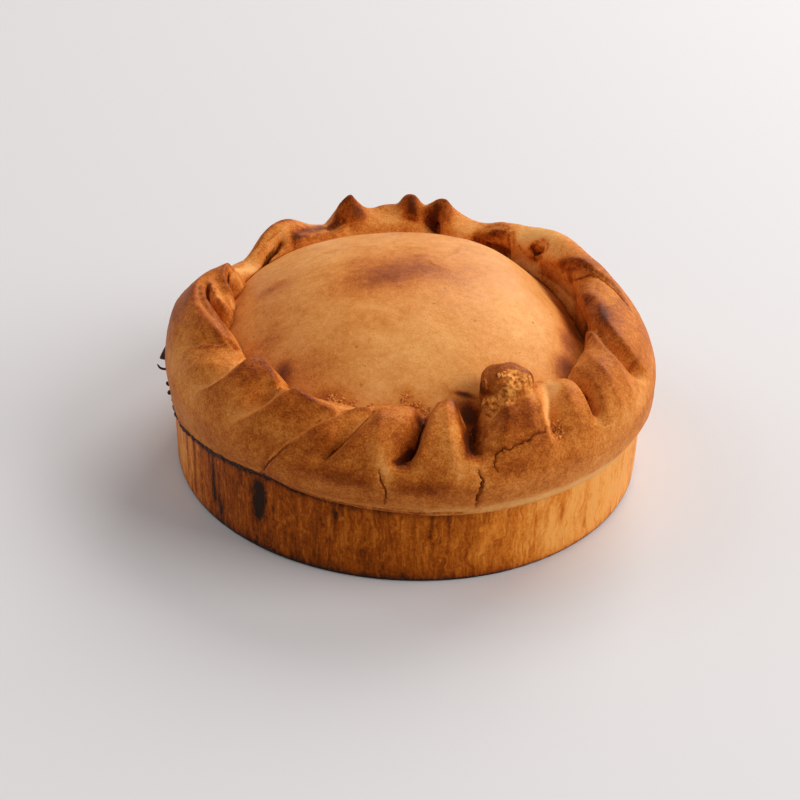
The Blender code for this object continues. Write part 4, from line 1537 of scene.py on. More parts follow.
@dataclass(frozen=True)
class Crack:
    """A crack in the crust.

    Attributes:
        path: (angle, share) points.
        width: Millimetres at its widest.
        depth: Millimetres.
        jag: How far it wanders, in millimetres.
        seed: Moves its wandering.
        char: How much darker its edges are.
    """

    path: tuple[Pair, ...]
    width: float
    depth: float = 3.0
    jag: float = 0.7
    seed: float = 1.0
    char: float = 0.3

    def line(self) -> tuple[Array, Array]:
        """Where it runs on the folded rim.

        Returns:
            Points in metres, and the direction out of the dough at each.
        """
        p = round_path(self.path, 40)
        for c, scale in enumerate((SKIN.degree_mm, SKIN.girth_mm)):
            wander = wandering(len(p), 0.55, 9 * self.seed, 3.1 * self.seed + 40 * c, 0)
            p[:, c] += self.jag * wander / scale
        return DOUGH.at(p[:, 0], p[:, 1]), SKIN.up(p[:, 0], p[:, 1])

    def blade(self) -> Object:
        """Thin wedge that cuts the crack.

        Returns:
            A closed body.
        """
        line, up = self.line()
        side = unit(np.cross(unit(np.gradient(line, axis=0)), up))
        gape = np.sin(np.pi * np.linspace(0, 1, len(line))) ** 0.6
        vary = 0.8 + 0.5 * wandering(len(line), 0.7, 0, 5.5 * self.seed, 2)
        half = side * (np.maximum(self.width * gape * vary, 0.08) * MM / 2)[:, None]
        deep = up * (self.depth * np.maximum(gape, 0.2) * MM)[:, None]
        high = line + up * BLADE_RISE
        rings = [high + half * 1.6, high - half * 1.6, line - half, line - deep, line + half]
        return lofted("crack", np.stack(rings, 1))


@dataclass(frozen=True)
class Stroke:
    """A streak along the rim that is browner or paler than the rest; some of the darker ones are painted
    shade.

    Attributes:
        path: (angle, share) points.
        width: Half width in millimetres.
        amount: How much darker it is, through browning and, in some streaks, painted shade.
    """

    path: tuple[Pair, ...]
    width: float
    amount: float

    def marks(self, angle: Array, share: Array, wander: Array) -> Array:
        """How much it darkens each point.

        Args:
            angle: Degrees.
            share: Share of the girth.
            wander: Makes its edge uneven, about 1.

        Returns:
            Values to add.
        """
        p = round_path(self.path, 40)
        near = np.abs(turned(angle - p[:, 0].mean())) < np.ptp(p[:, 0]) / 2 + 6
        across = turned(angle[near][:, None] - p[:, 0]) * SKIN.degree_mm
        over = (share[near][:, None] - p[:, 1]) * SKIN.girth_mm
        out = np.zeros(len(angle))
        out[near] = self.amount * hill(np.sqrt((across**2 + over**2).min(1)) * wander[near], 0, self.width)
        return out


@dataclass
class PleatedRim:
    """The thick hand-pleated rim that holds the lid down."""

    voxel: float = 0.00055
    coarse_voxel: float = 0.0008
    softening: int = 3
    faces: int = 196000
    proud_bake: float = 0.05
    sharp_bake: float = 0.35
    raised_bake: float = 0.022
    contact_bake: float = 0.10
    floury_bake: float = 0.28

    @staticmethod
    def skin_body() -> Object:
        """The folded skin, closed underneath inside the pie.

        Returns:
            A closed body.
        """
        angle, top = DOUGH.surface()
        a = np.radians(angle[:, None])
        ring = np.concatenate([np.cos(a), np.sin(a)], 1)[:, None, :]
        low = SKIN.seam_height(angle)
        hidden = ((0.066, 0 * low + 0.036), (0.068, 0 * low + 0.030),
                  (0.084, low - 0.0022), (0.0898, low - 0.0012))
        rows = [top, *(np.concatenate([ring * r, z[:, None, None]], 2) for r, z in hidden)]
        verts = np.concatenate(rows, 1)
        n, m, _ = verts.shape
        return add_mesh("skin", verts.reshape(-1, 3), quads(n, m, True, True))

    def shaped(self) -> Object:
        """Skin and knobs made one.

        Returns:
            One closed body.
        """
        rim = merge("pleated_rim", [self.skin_body(), *(knob.build() for knob in KNOBS)])
        remesh = rim.modifiers.new("one body", "REMESH")
        remesh.mode = "VOXEL"
        remesh.voxel_size = self.voxel
        soften = rim.modifiers.new("soften", "SMOOTH")
        soften.factor = 0.5
        soften.iterations = self.softening
        return settle(rim)

    def roughen(self, mesh: Mesh) -> None:
        """Gives the skin its small unevenness, and the torn places their crumb.

        Args:
            mesh: Mesh to change.
        """
        points = points_of(mesh)
        crumb = self.crumb_marks(points)
        push = 0.16 * lumps(points, 7.0, 1.0) + 0.05 * lumps(points, 2.2, 4.0)
        rows = crumb > 0.02
        rags = 1.3 * lumps(points[rows], 2.6, 8.0) + 0.7 * lumps(points[rows], 1.2, 6.0) - 0.9
        push[rows] += crumb[rows] * rags
        set_points(mesh, points + vectors_of(mesh, "normal") * (push * MM)[:, None])

    @staticmethod
    def crumb_marks(points: Array) -> Array:
        """How torn and crumbly each point is.

        Args:
            points: Points in metres.

        Returns:
            Values, 0 whole to 1 torn.
        """
        out = np.zeros(len(points))
        for angle, radius, height, size in TORN_SPOTS:
            d = np.linalg.norm(points - spot(angle, radius, height), axis=1) / (size * MM)
            out = np.maximum(out, np.clip(1.6 - 1.6 * d, 0, 1))
        return out

    @staticmethod
    def cut(rim: Object, cutters: Sequence[Object]) -> None:
        """Takes the lid's space and the cracks out of the rim.

        Args:
            rim: The rim.
            cutters: Closed bodies to take away, which are then removed.
        """
        for cutter in cutters:
            mod = rim.modifiers.new("cut", "BOOLEAN")
            mod.operation = "DIFFERENCE"
            mod.object = cutter
            mod.solver = "MANIFOLD"
        settle(rim)
        for cutter in cutters:
            bpy.data.objects.remove(cutter)

    def thin(self, rim: Object) -> None:
        """Brings the rim under its number of faces.

        Args:
            rim: The rim.
        """
        triangles = triangles_of(rim.data)
        if triangles > self.faces:
            fewer = rim.modifiers.new("fewer faces", "DECIMATE")
            fewer.ratio = self.faces / triangles
            settle(rim)

    def bake_marks(self, mesh: Mesh) -> Array:
        """How browned each point of the rim is, with painted shade in its deep pockets and in some grooves.

        Args:
            mesh: The finished mesh.

        Returns:
            Values, 0 pale to 1 burnt.
        """
        points, normals = points_of(mesh), vectors_of(mesh, "normal")
        angle, share, height = SKIN.place(points)
        near = relaxed(mesh, points, 14)
        far = relaxed(mesh, near, 130)
        sharp = ((points - near) * normals).sum(1) / MM
        proud = ((near - far) * normals).sum(1) / MM
        bake = glide_round(angle, RIM_BAKE) + np.clip(proud, -0.6, 1.4) * self.proud_bake
        bake += np.clip(sharp, -0.1, 0.2) * self.sharp_bake
        bake += (np.clip(height / MM, -1, 6) - 1.5) * self.raised_bake * ramped(share, 0.3, 0.2)
        # darkens the rim where it sinks deep below its skin by the lid's edge: painted shade in the pockets
        bake += self.contact_bake * ramped(-height / MM, 3, 3) * ramped(share, 0.9, 0.06)
        bake -= self.floury_bake * glide_round(angle, PALE_BAND) * hill(share, 0.04, 0.07)
        for (a, s), (wa, ws), amount in RIM_PATCHES:
            bake += amount * np.exp(-((turned(angle - a) / wa) ** 2) - (((share - s) / ws) ** 2))
        wander = 1 + 0.5 * lumps(points, 2.4, 5.0)
        for stroke in STROKES:
            bake += stroke.marks(angle, share, wander)
        for a, radius, tall, size, amount in SPOTS:
            d = np.linalg.norm(points - spot(a, radius, tall), axis=1)
            bake += amount * hill(d * wander, 0, size * MM)
        for crack in CRACKS:
            line, _ = crack.line()
            rows = np.linalg.norm(points - line.mean(0), axis=1) < np.ptp(line, axis=0).max() + 0.004
            d = np.sqrt(((points[rows][:, None] - line[None]) ** 2).sum(-1)).min(1) / MM
            bake[rows] += crack.char * hill(d, 0, 0.15 + 0.45 * crack.width)
        return bake

    def build(self, lid: DomedLid) -> Object:
        """Makes the rim.

        Args:
            lid: The lid whose space is cut out of the rim.

        Returns:
            The finished piece.
        """
        finish = RimFinish().material()
        rim = self.shaped()
        log.info("rim body: %d points", len(rim.data.vertices))
        self.roughen(rim.data)
        self.cut(rim, [lid.space(finish), *(crack.blade() for crack in CRACKS)])
        self.thin(rim)
        paint(rim.data, "crumb", self.crumb_marks(points_of(rim.data)))
        paint(rim.data, "bake", self.bake_marks(rim.data))
        return dress(rim, finish)


BLADE_RISE = 2.6 * MM
CRACKS = (
    Crack(((149.6, 0.955), (146.6, 0.938), (143.2, 0.925), (139.6, 0.905),
     (138, 0.895)), 2.3, 5, 0.1, 8, 0.5),
    Crack(((169.6, 0.885), (172.4, 0.905), (173.8, 0.93), (174.2, 0.965)), 1.5, 5, 0.1, 9),
    Crack(((179.6, 0.79), (-177.8, 0.805), (-174, 0.838), (-170.6, 0.872), (-167, 0.908),
     (-164, 0.95)), 2.6, 6, 0.2, 10, 0.1),
    Crack(((49.6, 0.895), (47.2, 0.884), (45, 0.87)), 3.4, 7, 0, 11, 0.4),
    Crack(((87, 0.862), (84.8, 0.865), (83, 0.885), (82.8, 0.94)), 3.6, 7, 0.2, 12),
    Crack(((70.5, 0.94), (66, 0.925), (62, 0.915), (58.6, 0.935), (58, 0.975)), 3.6, 7, 0.2, 13),
    Crack(((23.5, 0.935), (20.5, 0.9), (19, 0.86), (17, 0.825)), 0.7, 3.5, 0.3, 14),
    Crack(((19.5, 0.845), (15.5, 0.8), (11, 0.745), (6, 0.695), (1, 0.65)), 0.5, 2, 0.3, 15, 0.15),
    Crack(((33, 0.955), (29, 0.925), (25.5, 0.895)), 0.5, 2, 0.2, 16, 0.15),
    Crack(((-40.6, 0.9), (-41.5, 0.81), (-42.3, 0.72), (-43, 0.63), (-43.9, 0.56)), 1.5, 4, 0.2, 17),
    Crack(((-86.4, 0.84), (-87.3, 0.74), (-88.1, 0.64), (-89, 0.55),
     (-90.2, 0.48)), 0.8, 2, 0.1, 18, 0.25),
    Crack(((-95.8, 0.4), (-95.3, 0.33), (-94.2, 0.25), (-94.5, 0.12)), 0.95, 3.5, 0.6, 1, 0.14),
    Crack(((-75.6, 0.4), (-74.8, 0.3), (-75.5, 0.2), (-75.2, 0.07)), 1.7, 4, 0.9, 2, 0.14),
    Crack(((-58, 0.56), (-62, 0.53), (-67, 0.5), (-70.8, 0.49), (-72, 0.43),
     (-71.8, 0.37)), 0.8, 3, 0.9, 3, 0.14),
    Crack(((-98.8, 0.8), (-101.5, 0.66), (-104, 0.55), (-106, 0.49),
     (-107.7, 0.4)), 0.8, 2.5, 0.3, 4, 0.12),
    Crack(((-114.5, 0.46), (-117.5, 0.36), (-120.5, 0.22), (-122.5, 0.08)), 0.8, 2.5, 0.4, 5, 0.12),
    Crack(((-86, 0.045), (-90, 0.05), (-94, 0.045)), 0.5, 1.5, 0.3, 6, 0.1),
    Crack(((-77, 0.03), (-82, 0.035), (-88, 0.02)), 0.45, 1.5, 0.4, 7, 0.1),
)
KNOBS = (
    Knob(),
    Knob(-70.1, 0.8, 0.722, (2.8, 0.7, 4.8), 0.2, 2.2, 7),
    Knob(-69, 0.85, 0.688, (3.4, 3.4, 3.4), 0.3, 2.2, 5),
)
# Torn, crumbly spots: angle, radius and height in base radii, size in millimetres.
TORN_SPOTS = (
    (-62.6, 0.85, 0.79, 5.6), (-66, 0.89, 0.74, 4.2), (-69.8, 0.865, 0.69, 4.8), (-59.5, 0.86, 0.76, 4),
    (-55.8, 0.985, 0.59, 3.4), (-103, 0.8, 0.64, 2.6),
)
# Browner spots: angle, radius and height in base radii, size in millimetres, amount.
SPOTS = (
    (-68, 0.8, 0.775, 4.6, 0.12), (-62, 0.79, 0.81, 5, 0.04), (-58.2, 0.865, 0.775, 1.7, 0.6),
    (-70.4, 0.8, 0.73, 2.2, 0.34), (-55.8, 0.985, 0.59, 2, 0.3),
)
# Browning round the rim, and the pale floury band over the wall: (angle, amount).
RIM_BAKE = (
    (-175, 0.48), (-150, 0.42), (-130, 0.44), (-110, 0.5), (-90, 0.46), (-75, 0.44), (-60, 0.46),
    (-45, 0.38), (-25, 0.42), (-10, 0.46), (15, 0.42), (35, 0.36), (50, 0.24), (70, 0.28), (88, 0.36),
    (100, 0.3), (120, 0.36), (140, 0.36), (165, 0.42),
)
PALE_BAND = (
    (-150, 0), (-110, 0.2), (-90, 0.7), (-70, 1.3), (-50, 1.8), (-20, 1.8), (10, 1), (60, 0.5),
    (150, 0),
)
# Browner and paler places, and a pocket darkened with painted shade: (angle, share), their half widths,
# amount.
RIM_PATCHES = (
    ((-172, 0.62), (12, 0.14), 0.12), ((-164, 0.66), (6, 0.1), -0.12), ((-158, 0.48), (9, 0.12), -0.14),
    ((-174, 0.765), (5, 0.035), 0.03), ((-176, 0.84), (3.5, 0.04), -0.22),
    ((-160, 0.86), (4, 0.03), 0.14), ((-158, 1), (6, 0.03), 0.3), ((176, 0.76), (4, 0.04), -0.12),
    ((171.2, 0.92), (1.5, 0.05), 0.24), ((152, 0.9), (4, 0.06), -0.2), ((165, 0.93), (5, 0.05), -0.1),
    ((111.4, 0.9), (2.5, 0.03), 0.12), ((109.4, 0.85), (3.2, 0.05), 0.52),
    ((103, 0.88), (5, 0.06), -0.06), ((97.7, 0.88), (3, 0.04), -0.18), ((92, 0.82), (2.6, 0.03), 0.36),
    ((91.8, 0.865), (2.2, 0.03), 0.44), ((84.4, 0.845), (2.2, 0.04), 0.62),
    ((87.2, 0.84), (1.6, 0.05), 0.14), ((75.5, 0.85), (4.5, 0.08), -0.06),
    # (61.5, 0.94) darkens the floor of pocket Q: painted shade
    ((69, 0.77), (3.5, 0.04), 0.12), ((64.8, 0.87), (3, 0.03), 0.18), ((61.5, 0.94), (4, 0.045), 0.48),
    ((49, 0.8), (8, 0.1), -0.34), ((40, 0.9), (6, 0.06), -0.16), ((46.9, 0.89), (1.9, 0.022), 0.62),
    ((26.8, 0.94), (2.5, 0.03), 0.34), ((14, 0.79), (6, 0.05), -0.08),
    ((3.8, 0.92), (3.6, 0.026), 0.34), ((0.4, 1), (3.5, 0.03), 0.26), ((-7, 0.86), (7, 0.06), 0.32),
    ((-10, 0.68), (6, 0.06), -0.1), ((-22.2, 0.58), (2, 0.04), 0.26), ((-29, 0.44), (12, 0.08), -0.14),
    ((-36.9, 0.72), (3, 0.1), 0.1), ((-48.5, 0.82), (4.5, 0.05), -0.22),
    ((-52, 0.06), (16, 0.05), -0.14), ((-45, 0.2), (10, 0.06), -0.12), ((-54, 0.48), (6, 0.06), 0.12),
    ((-59.3, 0.74), (2, 0.05), -0.18), ((-64, 0.28), (9, 0.08), -0.06),
    ((-65.5, 0.66), (4.5, 0.12), 0.3), ((-70.5, 0.68), (3, 0.08), 0.1),
    ((-68.9, 0.38), (4, 0.06), 0.22), ((-81.5, 0.7), (3, 0.14), -0.1), ((-87, 0.83), (1.5, 0.06), 0.22),
    ((-91.2, 0.78), (2.2, 0.08), -0.12), ((-91.3, 0.44), (2.2, 0.04), 0.26),
    ((-88, 0.28), (6, 0.06), 0.28), ((-103.4, 0.3), (8, 0.06), 0.22), ((-104, 0.62), (4, 0.14), 0.1),
    ((-110, 0.5), (5, 0.12), 0.12), ((-98, 0.62), (3, 0.12), 0.14), ((-103.6, 0.42), (3, 0.05), -0.1),
    ((-103.5, 0.8), (4, 0.025), 0.18), ((-118.5, 0.64), (3.5, 0.07), 0.14),
    ((-124.5, 0.41), (5, 0.06), 0.18), ((-131, 0.54), (3, 0.08), -0.1),
    ((-127.5, 0.66), (2, 0.06), 0.14), ((-133.6, 0.77), (4.6, 0.1), 0.36),
)
STROKES = (
    # cheek and its layers
    Stroke(((179.5, 0.78), (-175, 0.755), (-168.5, 0.78), (-160, 0.8)), 2.2, 0.03),
    Stroke(((179.5, 0.8), (-175, 0.8), (-168, 0.815), (-161, 0.84), (-156, 0.87)), 0.5, 0.25),
    Stroke(((179.5, 0.84), (-174, 0.85), (-167, 0.875), (-161, 0.9), (-157, 0.93)), 0.5, 0.25),
    Stroke(((-156.6, 0.62), (-152, 0.72), (-149.5, 0.8), (-151, 0.95)), 0.5, 0.25),
    Stroke(((-178.5, 0.94), (-179, 0.97), (-179, 1)), 1.2, -0.3),
    Stroke(((-176.8, 0.8), (-175.4, 0.86), (-174.6, 0.92)), 1, -0.22),
    Stroke(((168.4, 0.9), (167, 0.94), (166.4, 0.98)), 1.2, -0.28),
    # long pleat U and the crusty strip behind the lid
    Stroke(((157.5, 0.86), (153.5, 0.9), (152.2, 0.94)), 2.2, -0.3),
    Stroke(((146, 0.78), (141, 0.76), (136, 0.765), (131, 0.79)), 1, 0.2),
    Stroke(((151, 0.83), (145, 0.84), (139.5, 0.85), (134, 0.86)), 2.2, -0.14),
    Stroke(((134, 0.915), (128.7, 0.885), (124, 0.86), (119.8, 0.83), (116.5, 0.85)), 1.9, 0.56),
    Stroke(((115.8, 0.87), (114, 0.885)), 1, 0.34),
    Stroke(((147, 0.86), (141, 0.84), (137, 0.84)), 0.5, 0.2),
    # T, S and R
    Stroke(((113.6, 0.79), (112.5, 0.8), (111.2, 0.8)), 1.2, 0.26),
    Stroke(((82.5, 0.79), (80.5, 0.8), (79.5, 0.83), (79.8, 0.88)), 1.4, 0.22),
    # pocket Q
    Stroke(((70.3, 0.91), (68.9, 0.865), (67.1, 0.82), (63.7, 0.8), (59.5, 0.81),
     (57.2, 0.84)), 1.4, 0.26),
    Stroke(((57.5, 0.84), (56, 0.89), (55.6, 0.95)), 0.8, 0.18),
    Stroke(((70, 0.93), (67, 0.9), (64, 0.87), (60.5, 0.86)), 1.3, 0.34),
    Stroke(((58.6, 0.88), (57.6, 0.93), (57.5, 0.98)), 1, 0.3),
    # curled hole O and the line under it
    Stroke(((48.6, 0.873), (46.4, 0.845), (43.9, 0.852), (42.6, 0.885), (44.4, 0.922), (47.4, 0.932),
     (49.4, 0.905), (48.6, 0.873)), 0.75, 0.4),
    Stroke(((54.2, 0.91), (52.5, 0.955), (49.5, 0.975), (46, 0.97), (43, 0.95)), 0.45, 0.34),
    # pleat N
    Stroke(((32.6, 0.92), (27.9, 0.88), (24.6, 0.845), (21.4, 0.82)), 2, 0.2),
    Stroke(((45, 0.985), (38.9, 0.97), (34.5, 0.94), (31, 0.91)), 1, 0.2),
    Stroke(((44, 1), (38, 0.995), (32, 0.985), (27, 0.96), (24.5, 0.93)), 0.5, 0.24),
    Stroke(((25, 1), (18, 1), (10, 1), (0, 1), (-6, 1)), 1, 0.18),
    Stroke(((24.5, 0.855), (21, 0.835), (18.5, 0.8), (15.5, 0.77), (12.7, 0.74), (8.5, 0.71),
     (4, 0.685)), 0.5, 0.26),
    # L, K and J
    Stroke(((0, 0.885), (-6, 0.87), (-12, 0.83), (-17, 0.77)), 1.6, 0.1),
    Stroke(((-18.8, 0.925), (-17.6, 0.915)), 0.9, 0.3),
    Stroke(((-12, 0.9), (-18, 0.85), (-21.5, 0.77), (-23.2, 0.68), (-23, 0.6)), 0.8, 0.22),
    # grooves at the front, some darkened with painted shade
    Stroke(((-40.4, 0.93), (-41.4, 0.81), (-42.3, 0.72), (-43, 0.63), (-44, 0.56)), 1.3, 0.36),
    Stroke(((-52.3, 0.77), (-54.6, 0.69), (-55.8, 0.6)), 0.5, 0.26),
    Stroke(((-47.5, 0.93), (-50.5, 0.82), (-54.3, 0.73), (-57, 0.64), (-57.6, 0.56)), 2.4, -0.34),
    # groove G between F and H: its floor darkened with painted shadow
    Stroke(((-72.8, 1), (-73.6, 0.85), (-74.8, 0.7), (-75.8, 0.6), (-76.1, 0.52)), 3, 0.66),
    Stroke(((-77.6, 0.46), (-76, 0.4), (-74.5, 0.3)), 2.2, -0.16),
    Stroke(((-89.2, 0.54), (-90.2, 0.48), (-91.6, 0.455)), 1.6, 0.42),
    # left wall of slit E, in the shadow of the E ridge: painted shadow
    Stroke(((-87.6, 0.84), (-89.2, 0.7), (-90.8, 0.58), (-91.8, 0.51)), 2, 0.24),
    # F's right flank beside groove G: painted shadow
    Stroke(((-77.8, 0.92), (-77.8, 0.78), (-77.4, 0.66), (-76.8, 0.56)), 2, 0.36),
    Stroke(((-80.3, 0.62), (-80.4, 0.5), (-79.5, 0.38)), 3, -0.2),
    # dark line down slit E: partly browning, partly painted shade in the crease
    Stroke(((-85.2, 0.95), (-86.5, 0.82), (-87.5, 0.7), (-88.7, 0.58), (-90.5, 0.49),
     (-92, 0.45)), 1.3, 0.4),
    Stroke(((-96.6, 0.58), (-95.4, 0.45), (-94.6, 0.28)), 3, -0.28),
    Stroke(((-107, 0.77), (-111, 0.66), (-115, 0.53), (-118.5, 0.4), (-121, 0.26),
     (-123, 0.06)), 0.5, 0.2),
    Stroke(((-99.4, 0.8), (-101.5, 0.66), (-104, 0.56), (-106, 0.49), (-107.9, 0.4)), 0.6, 0.16),
    Stroke(((-147, 0.41), (-142, 0.52), (-139, 0.6)), 0.8, 0.12),
    Stroke(((-139, 0.88), (-136, 0.87), (-131, 0.84), (-127.5, 0.81)), 0.9, 0.16),
    Stroke(((-131, 1), (-128, 0.97), (-126, 0.93)), 1, 0.4),
    Stroke(((-119, 0.755), (-114.7, 0.745), (-109, 0.75)), 0.8, 0.14),
    # reddish line along the seam
    Stroke(((-124, 0.014), (-112, 0.012), (-100, 0.014), (-88, 0.012), (-78, 0.014)), 0.65, 0.5),
)


# --------------------------------------------------------------------------- burnt trim
@dataclass
class BurntJuice:
    """Juice that ran out under the rim and burnt there, as a bead of uneven thickness."""

    radius: float = 0.0906
    lift: float = 0.0001
    first_angle: float = -178.0
    last_angle: float = -62.0
    segments: int = 700
    sides: int = 8

    def tree(self, material: Material) -> GeoTree:
        """Geometry Nodes tree that sweeps the bead along its path.

        Args:
            material: Material of the bead.

        Returns:
            The tree.
        """
        g = GeoTree("burnt bead", self, material)
        curve = g.out("GeometryNodeMeshToCurve", {0: g.inputs["Geometry"]})
        curve = g.out("GeometryNodeResampleCurve", {"Curve": curve, "Count": g.inputs["Segments"]})
        noisy = g.out("ShaderNodeTexNoise", {"Scale": 260.0, "Detail": 3.0, "Roughness": 0.7}, "Color")
        off = g.vector_calc("SUBTRACT", {0: noisy, 1: (0.5, 0.5, 0.5)})
        off = g.vector_calc("MULTIPLY", {0: off, 1: (0.0016, 0.0016, 0.0012)})
        curve = g.moved(curve, Offset=off)
        thick = g.out("GeometryNodeInputNamedAttribute", {"Name": "thick"}, data_type="FLOAT")
        blob = g.between(g.clouds(None, 420.0, 3.0, 0.7), 0.30, 0.72, 0.25, 1.5)
        curve = g.out("GeometryNodeSetCurveRadius", {"Curve": curve, "Radius": g.times(thick, blob)})
        ring = g.out("GeometryNodeCurvePrimitiveCircle", {"Resolution": g.inputs["Sides"], "Radius": 1.0})
        sweep = g.node("GeometryNodeCurveToMesh", {"Curve": curve, "Profile Curve": ring, "Fill Caps": True})
        if "Scale" in sweep.inputs:
            g.feed(sweep.inputs["Scale"], g.out("GeometryNodeInputRadius"))
        return g.finish(sweep.outputs[0])

    def build(self) -> Object:
        """Makes the bead.

        Returns:
            The finished piece.
        """
        angle = np.linspace(self.first_angle, self.last_angle, 400)
        a = np.radians(angle)
        height = SKIN.seam_height(angle) + self.lift
        path = np.stack([self.radius * np.cos(a), self.radius * np.sin(a), height], -1)
        mesh = bpy.data.meshes.new("burnt_juice")
        mesh.from_pydata(path.tolist(), [(i, i + 1) for i in range(len(path) - 1)], [])
        paint(mesh, "thick", glide_round(angle, BEAD_THICKNESS) * MM)
        return self.tree(CHAR_FINISH.material()).run(new_object("burnt_juice", mesh))


# Angle, and half the bead's thickness there in millimetres.
BEAD_THICKNESS = (
    (-178, 0.5), (-165, 0.8), (-145, 1), (-130, 0.8), (-122, 0.4), (-112, 0.22), (-100, 0.2),
    (-90, 0.14), (-75, 0.1), (-62, 0.06),
)


@dataclass(frozen=True)
class Flake:
    """One burnt flake, seen from its flat side.

    Attributes:
        angle: Degrees round the pie.
        path: (distance from the middle, height, half width) from root to tip, in millimetres.
        thick: Half its thickness in millimetres.
    """

    angle: float
    path: tuple[Triple, ...]
    thick: float = 0.35

    def build(self) -> Object:
        """Makes the flake.

        Returns:
            A closed body.
        """
        rows = spline(self.path, 12) * MM
        a = math.radians(self.angle)
        out, around = np.array([math.cos(a), math.sin(a), 0.0]), np.array([-math.sin(a), math.cos(a), 0.0])
        turns = np.array([2 * math.pi * k / 8 for k in range(8)])[:, None]
        rings = []
        for (r, z, half), (dr, dz) in zip(rows, unit(np.gradient(rows[:, :2], axis=0))):
            flat = (UP * dr - out * dz) * max(half, 1e-4) * np.cos(turns)
            rings.append(out * r + UP * z + flat + around * self.thick * MM * np.sin(turns))
        return lofted("flake", np.array(rings))


FLAKES = (
    Flake(-178, ((93.6, 41.4, 0.15), (94.2, 38.6, 0.9), (94.6, 36.2, 1.5), (94.7, 35.4, 1.5)), 0.45),
    Flake(-178, ((91.5, 31.4, 0.5), (94.4, 31, 0.55), (96.2, 31.5, 0.5), (97.2, 33, 0.25))),
    Flake(-173, ((91.2, 29, 0.9), (92.6, 29.3, 1), (93.3, 30, 0.4)), 0.6),
    Flake(-170.6, ((90.6, 28, 1.1), (92, 27.8, 1.1), (92.8, 27.3, 0.6)), 0.8),
    Flake(-169, ((90.4, 26, 0.5), (91.3, 25.9, 0.5), (91.7, 25.8, 0.35)), 0.5),
)


@dataclass
class BurntFlakes:
    """Burnt flakes that stick out under the rim."""

    flakes: tuple[Flake, ...] = FLAKES

    def build(self) -> Object:
        """Makes the flakes as one finished piece."""
        return dress(merge("burnt_flakes", [flake.build() for flake in self.flakes]), CHAR_FINISH.material())


@dataclass
class CrustCrumbs:
    """Crumbs that broke off the torn edges and lie beside them."""

    density: float = 1.9e6
    smallest: float = 0.00012
    largest: float = 0.00055
    seed: int = 7

    def tree(self, material: Material) -> GeoTree:
        """Geometry Nodes tree that strews crumbs on faces.

        Args:
            material: Material of the crumbs.

        Returns:
            The tree.
        """
        g = GeoTree("strewn crumbs", self, material)
        seed = g.inputs["Seed"]
        faces = {"Mesh": g.inputs["Geometry"], "Density": g.inputs["Density"], "Seed": seed}
        spots = g.out("GeometryNodeDistributePointsOnFaces", faces, "Points")
        crumb = g.out("GeometryNodeMeshIcoSphere", {"Radius": 1.0, "Subdivisions": 2}, "Mesh")
        sizes = {2: g.inputs["Smallest"], 3: g.inputs["Largest"], "Seed": seed}
        size = g.out("FunctionNodeRandomValue", sizes, 1, data_type="FLOAT")
        turns = {0: (0.0, 0.0, 0.0), 1: (6.28, 6.28, 6.28), "Seed": seed}
        turn = g.out("FunctionNodeRandomValue", turns, 0, data_type="FLOAT_VECTOR")
        strewn = {"Points": spots, "Instance": crumb, "Rotation": turn, "Scale": size}
        whole = g.out("GeometryNodeRealizeInstances", {0: g.out("GeometryNodeInstanceOnPoints", strewn)})
        noisy = g.out("ShaderNodeTexNoise", {"Scale": 2200.0, "Detail": 1.0}, "Color")
        off = g.vector_calc("SUBTRACT", {0: noisy, 1: (0.5, 0.5, 0.5)})
        off = g.vector_calc("SCALE", {0: off, "Scale": 0.0006})
        return g.finish(g.moved(whole, Offset=off), smooth=False)

    def build(self, ground: Sequence[Object]) -> Object:
        """Makes the crumbs.

        Args:
            ground: Finished pieces that the crumbs lie on.

        Returns:
            The finished piece.
        """
        graph = bpy.context.evaluated_depsgraph_get()
        trees = [BVHTree.FromObject(obj, graph) for obj in ground]
        verts, faces = [], []
        for x, y, half_mm in CRUMB_PLACES:
            steps = np.linspace(-1, 1, 6) * half_mm * MM
            for dx, dy in ((dx, dy) for dx in steps for dy in steps):
                start = Vector((x * BASE_RADIUS + dx, y * BASE_RADIUS + dy, 0.12))
                hits = [tree.ray_cast(start, Vector((0, 0, -1)))[0] for tree in trees]
                verts.append(max((hit for hit in hits if hit), key=lambda hit: hit.z))
            faces += [[len(verts) - 36 + i for i in face] for face in quads(6, 6, False, False)]
        patch = add_mesh("crust_crumbs", np.array(verts), faces)
        return self.tree(CRUMB_FINISH.material()).run(patch)


# Where crumbs lie: x and y in base radii, half the side of the patch in millimetres.
CRUMB_PLACES = (
    (-0.3, -0.69, 1.6), (-0.262, -0.712, 1.8), (-0.215, -0.725, 1.6), (-0.15, -0.735, 1),
    (-0.023, -0.715, 1.6), (0.02, -0.742, 1.8), (0.06, -0.752, 1.4), (0.345, -0.735, 1.8),
    (0.56, -0.81, 2.2), (0.545, -0.835, 1.6), (0.47, -0.64, 1.4),
)


# --------------------------------------------------------------------------- studio
@dataclass
class Lamp:
    """A soft square light that points at the pie."""

    name: str
    place: Triple
    power: float
    colour: Triple
    size: float = 2.0
    target: Triple = (0.0, 0.0, 0.04)

    def build(self) -> None:
        """Adds the light."""
        data = bpy.data.lights.new(self.name, "AREA")
        data.size = self.size
        data.energy = self.power
        data.color = self.colour
        lamp = bpy.data.objects.new(self.name, data)
        lamp.location = self.place
        toward = Vector(self.target) - Vector(self.place)
        lamp.rotation_euler = toward.to_track_quat("-Z", "Y").to_euler()
        bpy.context.scene.collection.objects.link(lamp)


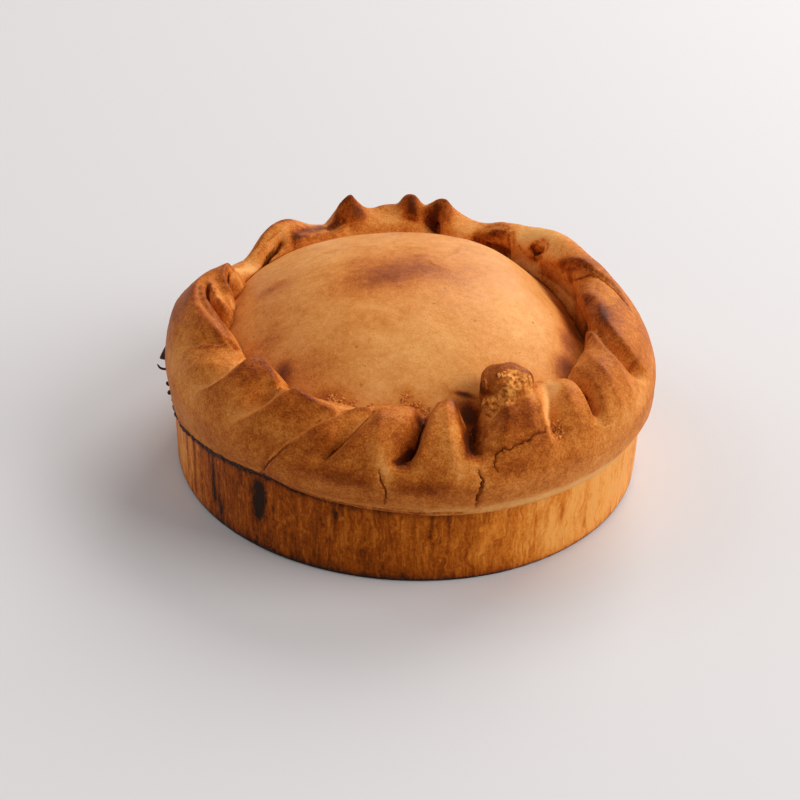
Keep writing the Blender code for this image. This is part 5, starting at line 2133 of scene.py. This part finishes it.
@dataclass
class Studio:
    """Floor, camera and soft light."""

    place: Triple = (-0.0018, -0.55491, 0.35412)
    aim: Triple = (-0.0038, 0.0, 0.01942)
    roll: float = 2.2136
    lens: float = 75.0
    floor_half: float = 4.0
    floor_drop: float = 0.0002
    sky: float = 0.32

    def camera(self) -> None:
        """Sets up the camera."""
        data = bpy.data.cameras.new("camera")
        data.lens = self.lens
        data.sensor_width = 36.0
        data.clip_start = 0.01
        camera = bpy.data.objects.new("camera", data)
        bpy.context.scene.collection.objects.link(camera)
        look = (Vector(self.aim) - Vector(self.place)).to_track_quat("-Z", "Y")
        camera.location = self.place
        camera.rotation_mode = "QUATERNION"
        camera.rotation_quaternion = look @ Quaternion((0, 0, 1), math.radians(self.roll))
        bpy.context.scene.camera = camera

    def floor(self) -> None:
        """Lays a plain pale floor."""
        corners = np.array([(-1, -1), (1, -1), (1, 1), (-1, 1)]) * self.floor_half
        verts = np.column_stack([corners, np.full(4, -self.floor_drop)])
        floor = add_mesh("floor", verts, [[0, 1, 2, 3]])
        floor.data.materials.append(Finish("floor_finish", 0.6, 0.2).done((0.66, 0.645, 0.645, 1.0)))

    def build(self) -> None:
        """Sets up the whole studio."""
        self.camera()
        self.floor()
        Lamp("window", (1.163, 2.098, 1.845), 62.0, (1.0, 0.985, 0.97)).build()
        Lamp("side", (2.420, -0.427, 1.760), 62.0, (1.0, 0.985, 0.97)).build()
        Lamp("fill", (-2.262, 0.400, 1.968), 19.0, (1.0, 0.99, 0.98)).build()
        world = bpy.data.worlds.new("studio")
        world.use_nodes = True
        background = world.node_tree.nodes["Background"].inputs
        background["Color"].default_value = (1.0, 0.99, 1.0, 1.0)
        background["Strength"].default_value = self.sky
        bpy.context.scene.world = world
        bpy.context.scene.view_settings.view_transform = "Standard"


def declare(piece: Object, slot: str, *nodes: str) -> None:
    """Says what a piece rides on and stands for.

    Args:
        piece: The piece.
        slot: Material slot of the record; not used.
        nodes: CAD nodes it stands for.
    """
    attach(piece, BODY)
    if nodes:
        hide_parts(*nodes)
    log.info("%s: %d triangles", piece.name, triangles_of(piece.data))


def main() -> None:
    """Builds the pie and its studio."""
    logging.basicConfig(level=logging.INFO, format="%(message)s")
    lid = DomedLid()
    rim, dome = PleatedRim().build(lid), lid.build()
    declare(rim, "baked_rim", "crust_case")
    declare(SideWall().build(), "baked_rim", "crust_case")
    declare(dome, "baked_lid", "crust_lid")
    declare(BurntJuice().build(), "baked_rim")
    declare(BurntFlakes().build(), "baked_rim")
    declare(CrustCrumbs().build([rim, dome]), "baked_rim")
    Studio().build()


if __name__ == "__main__":
    main()
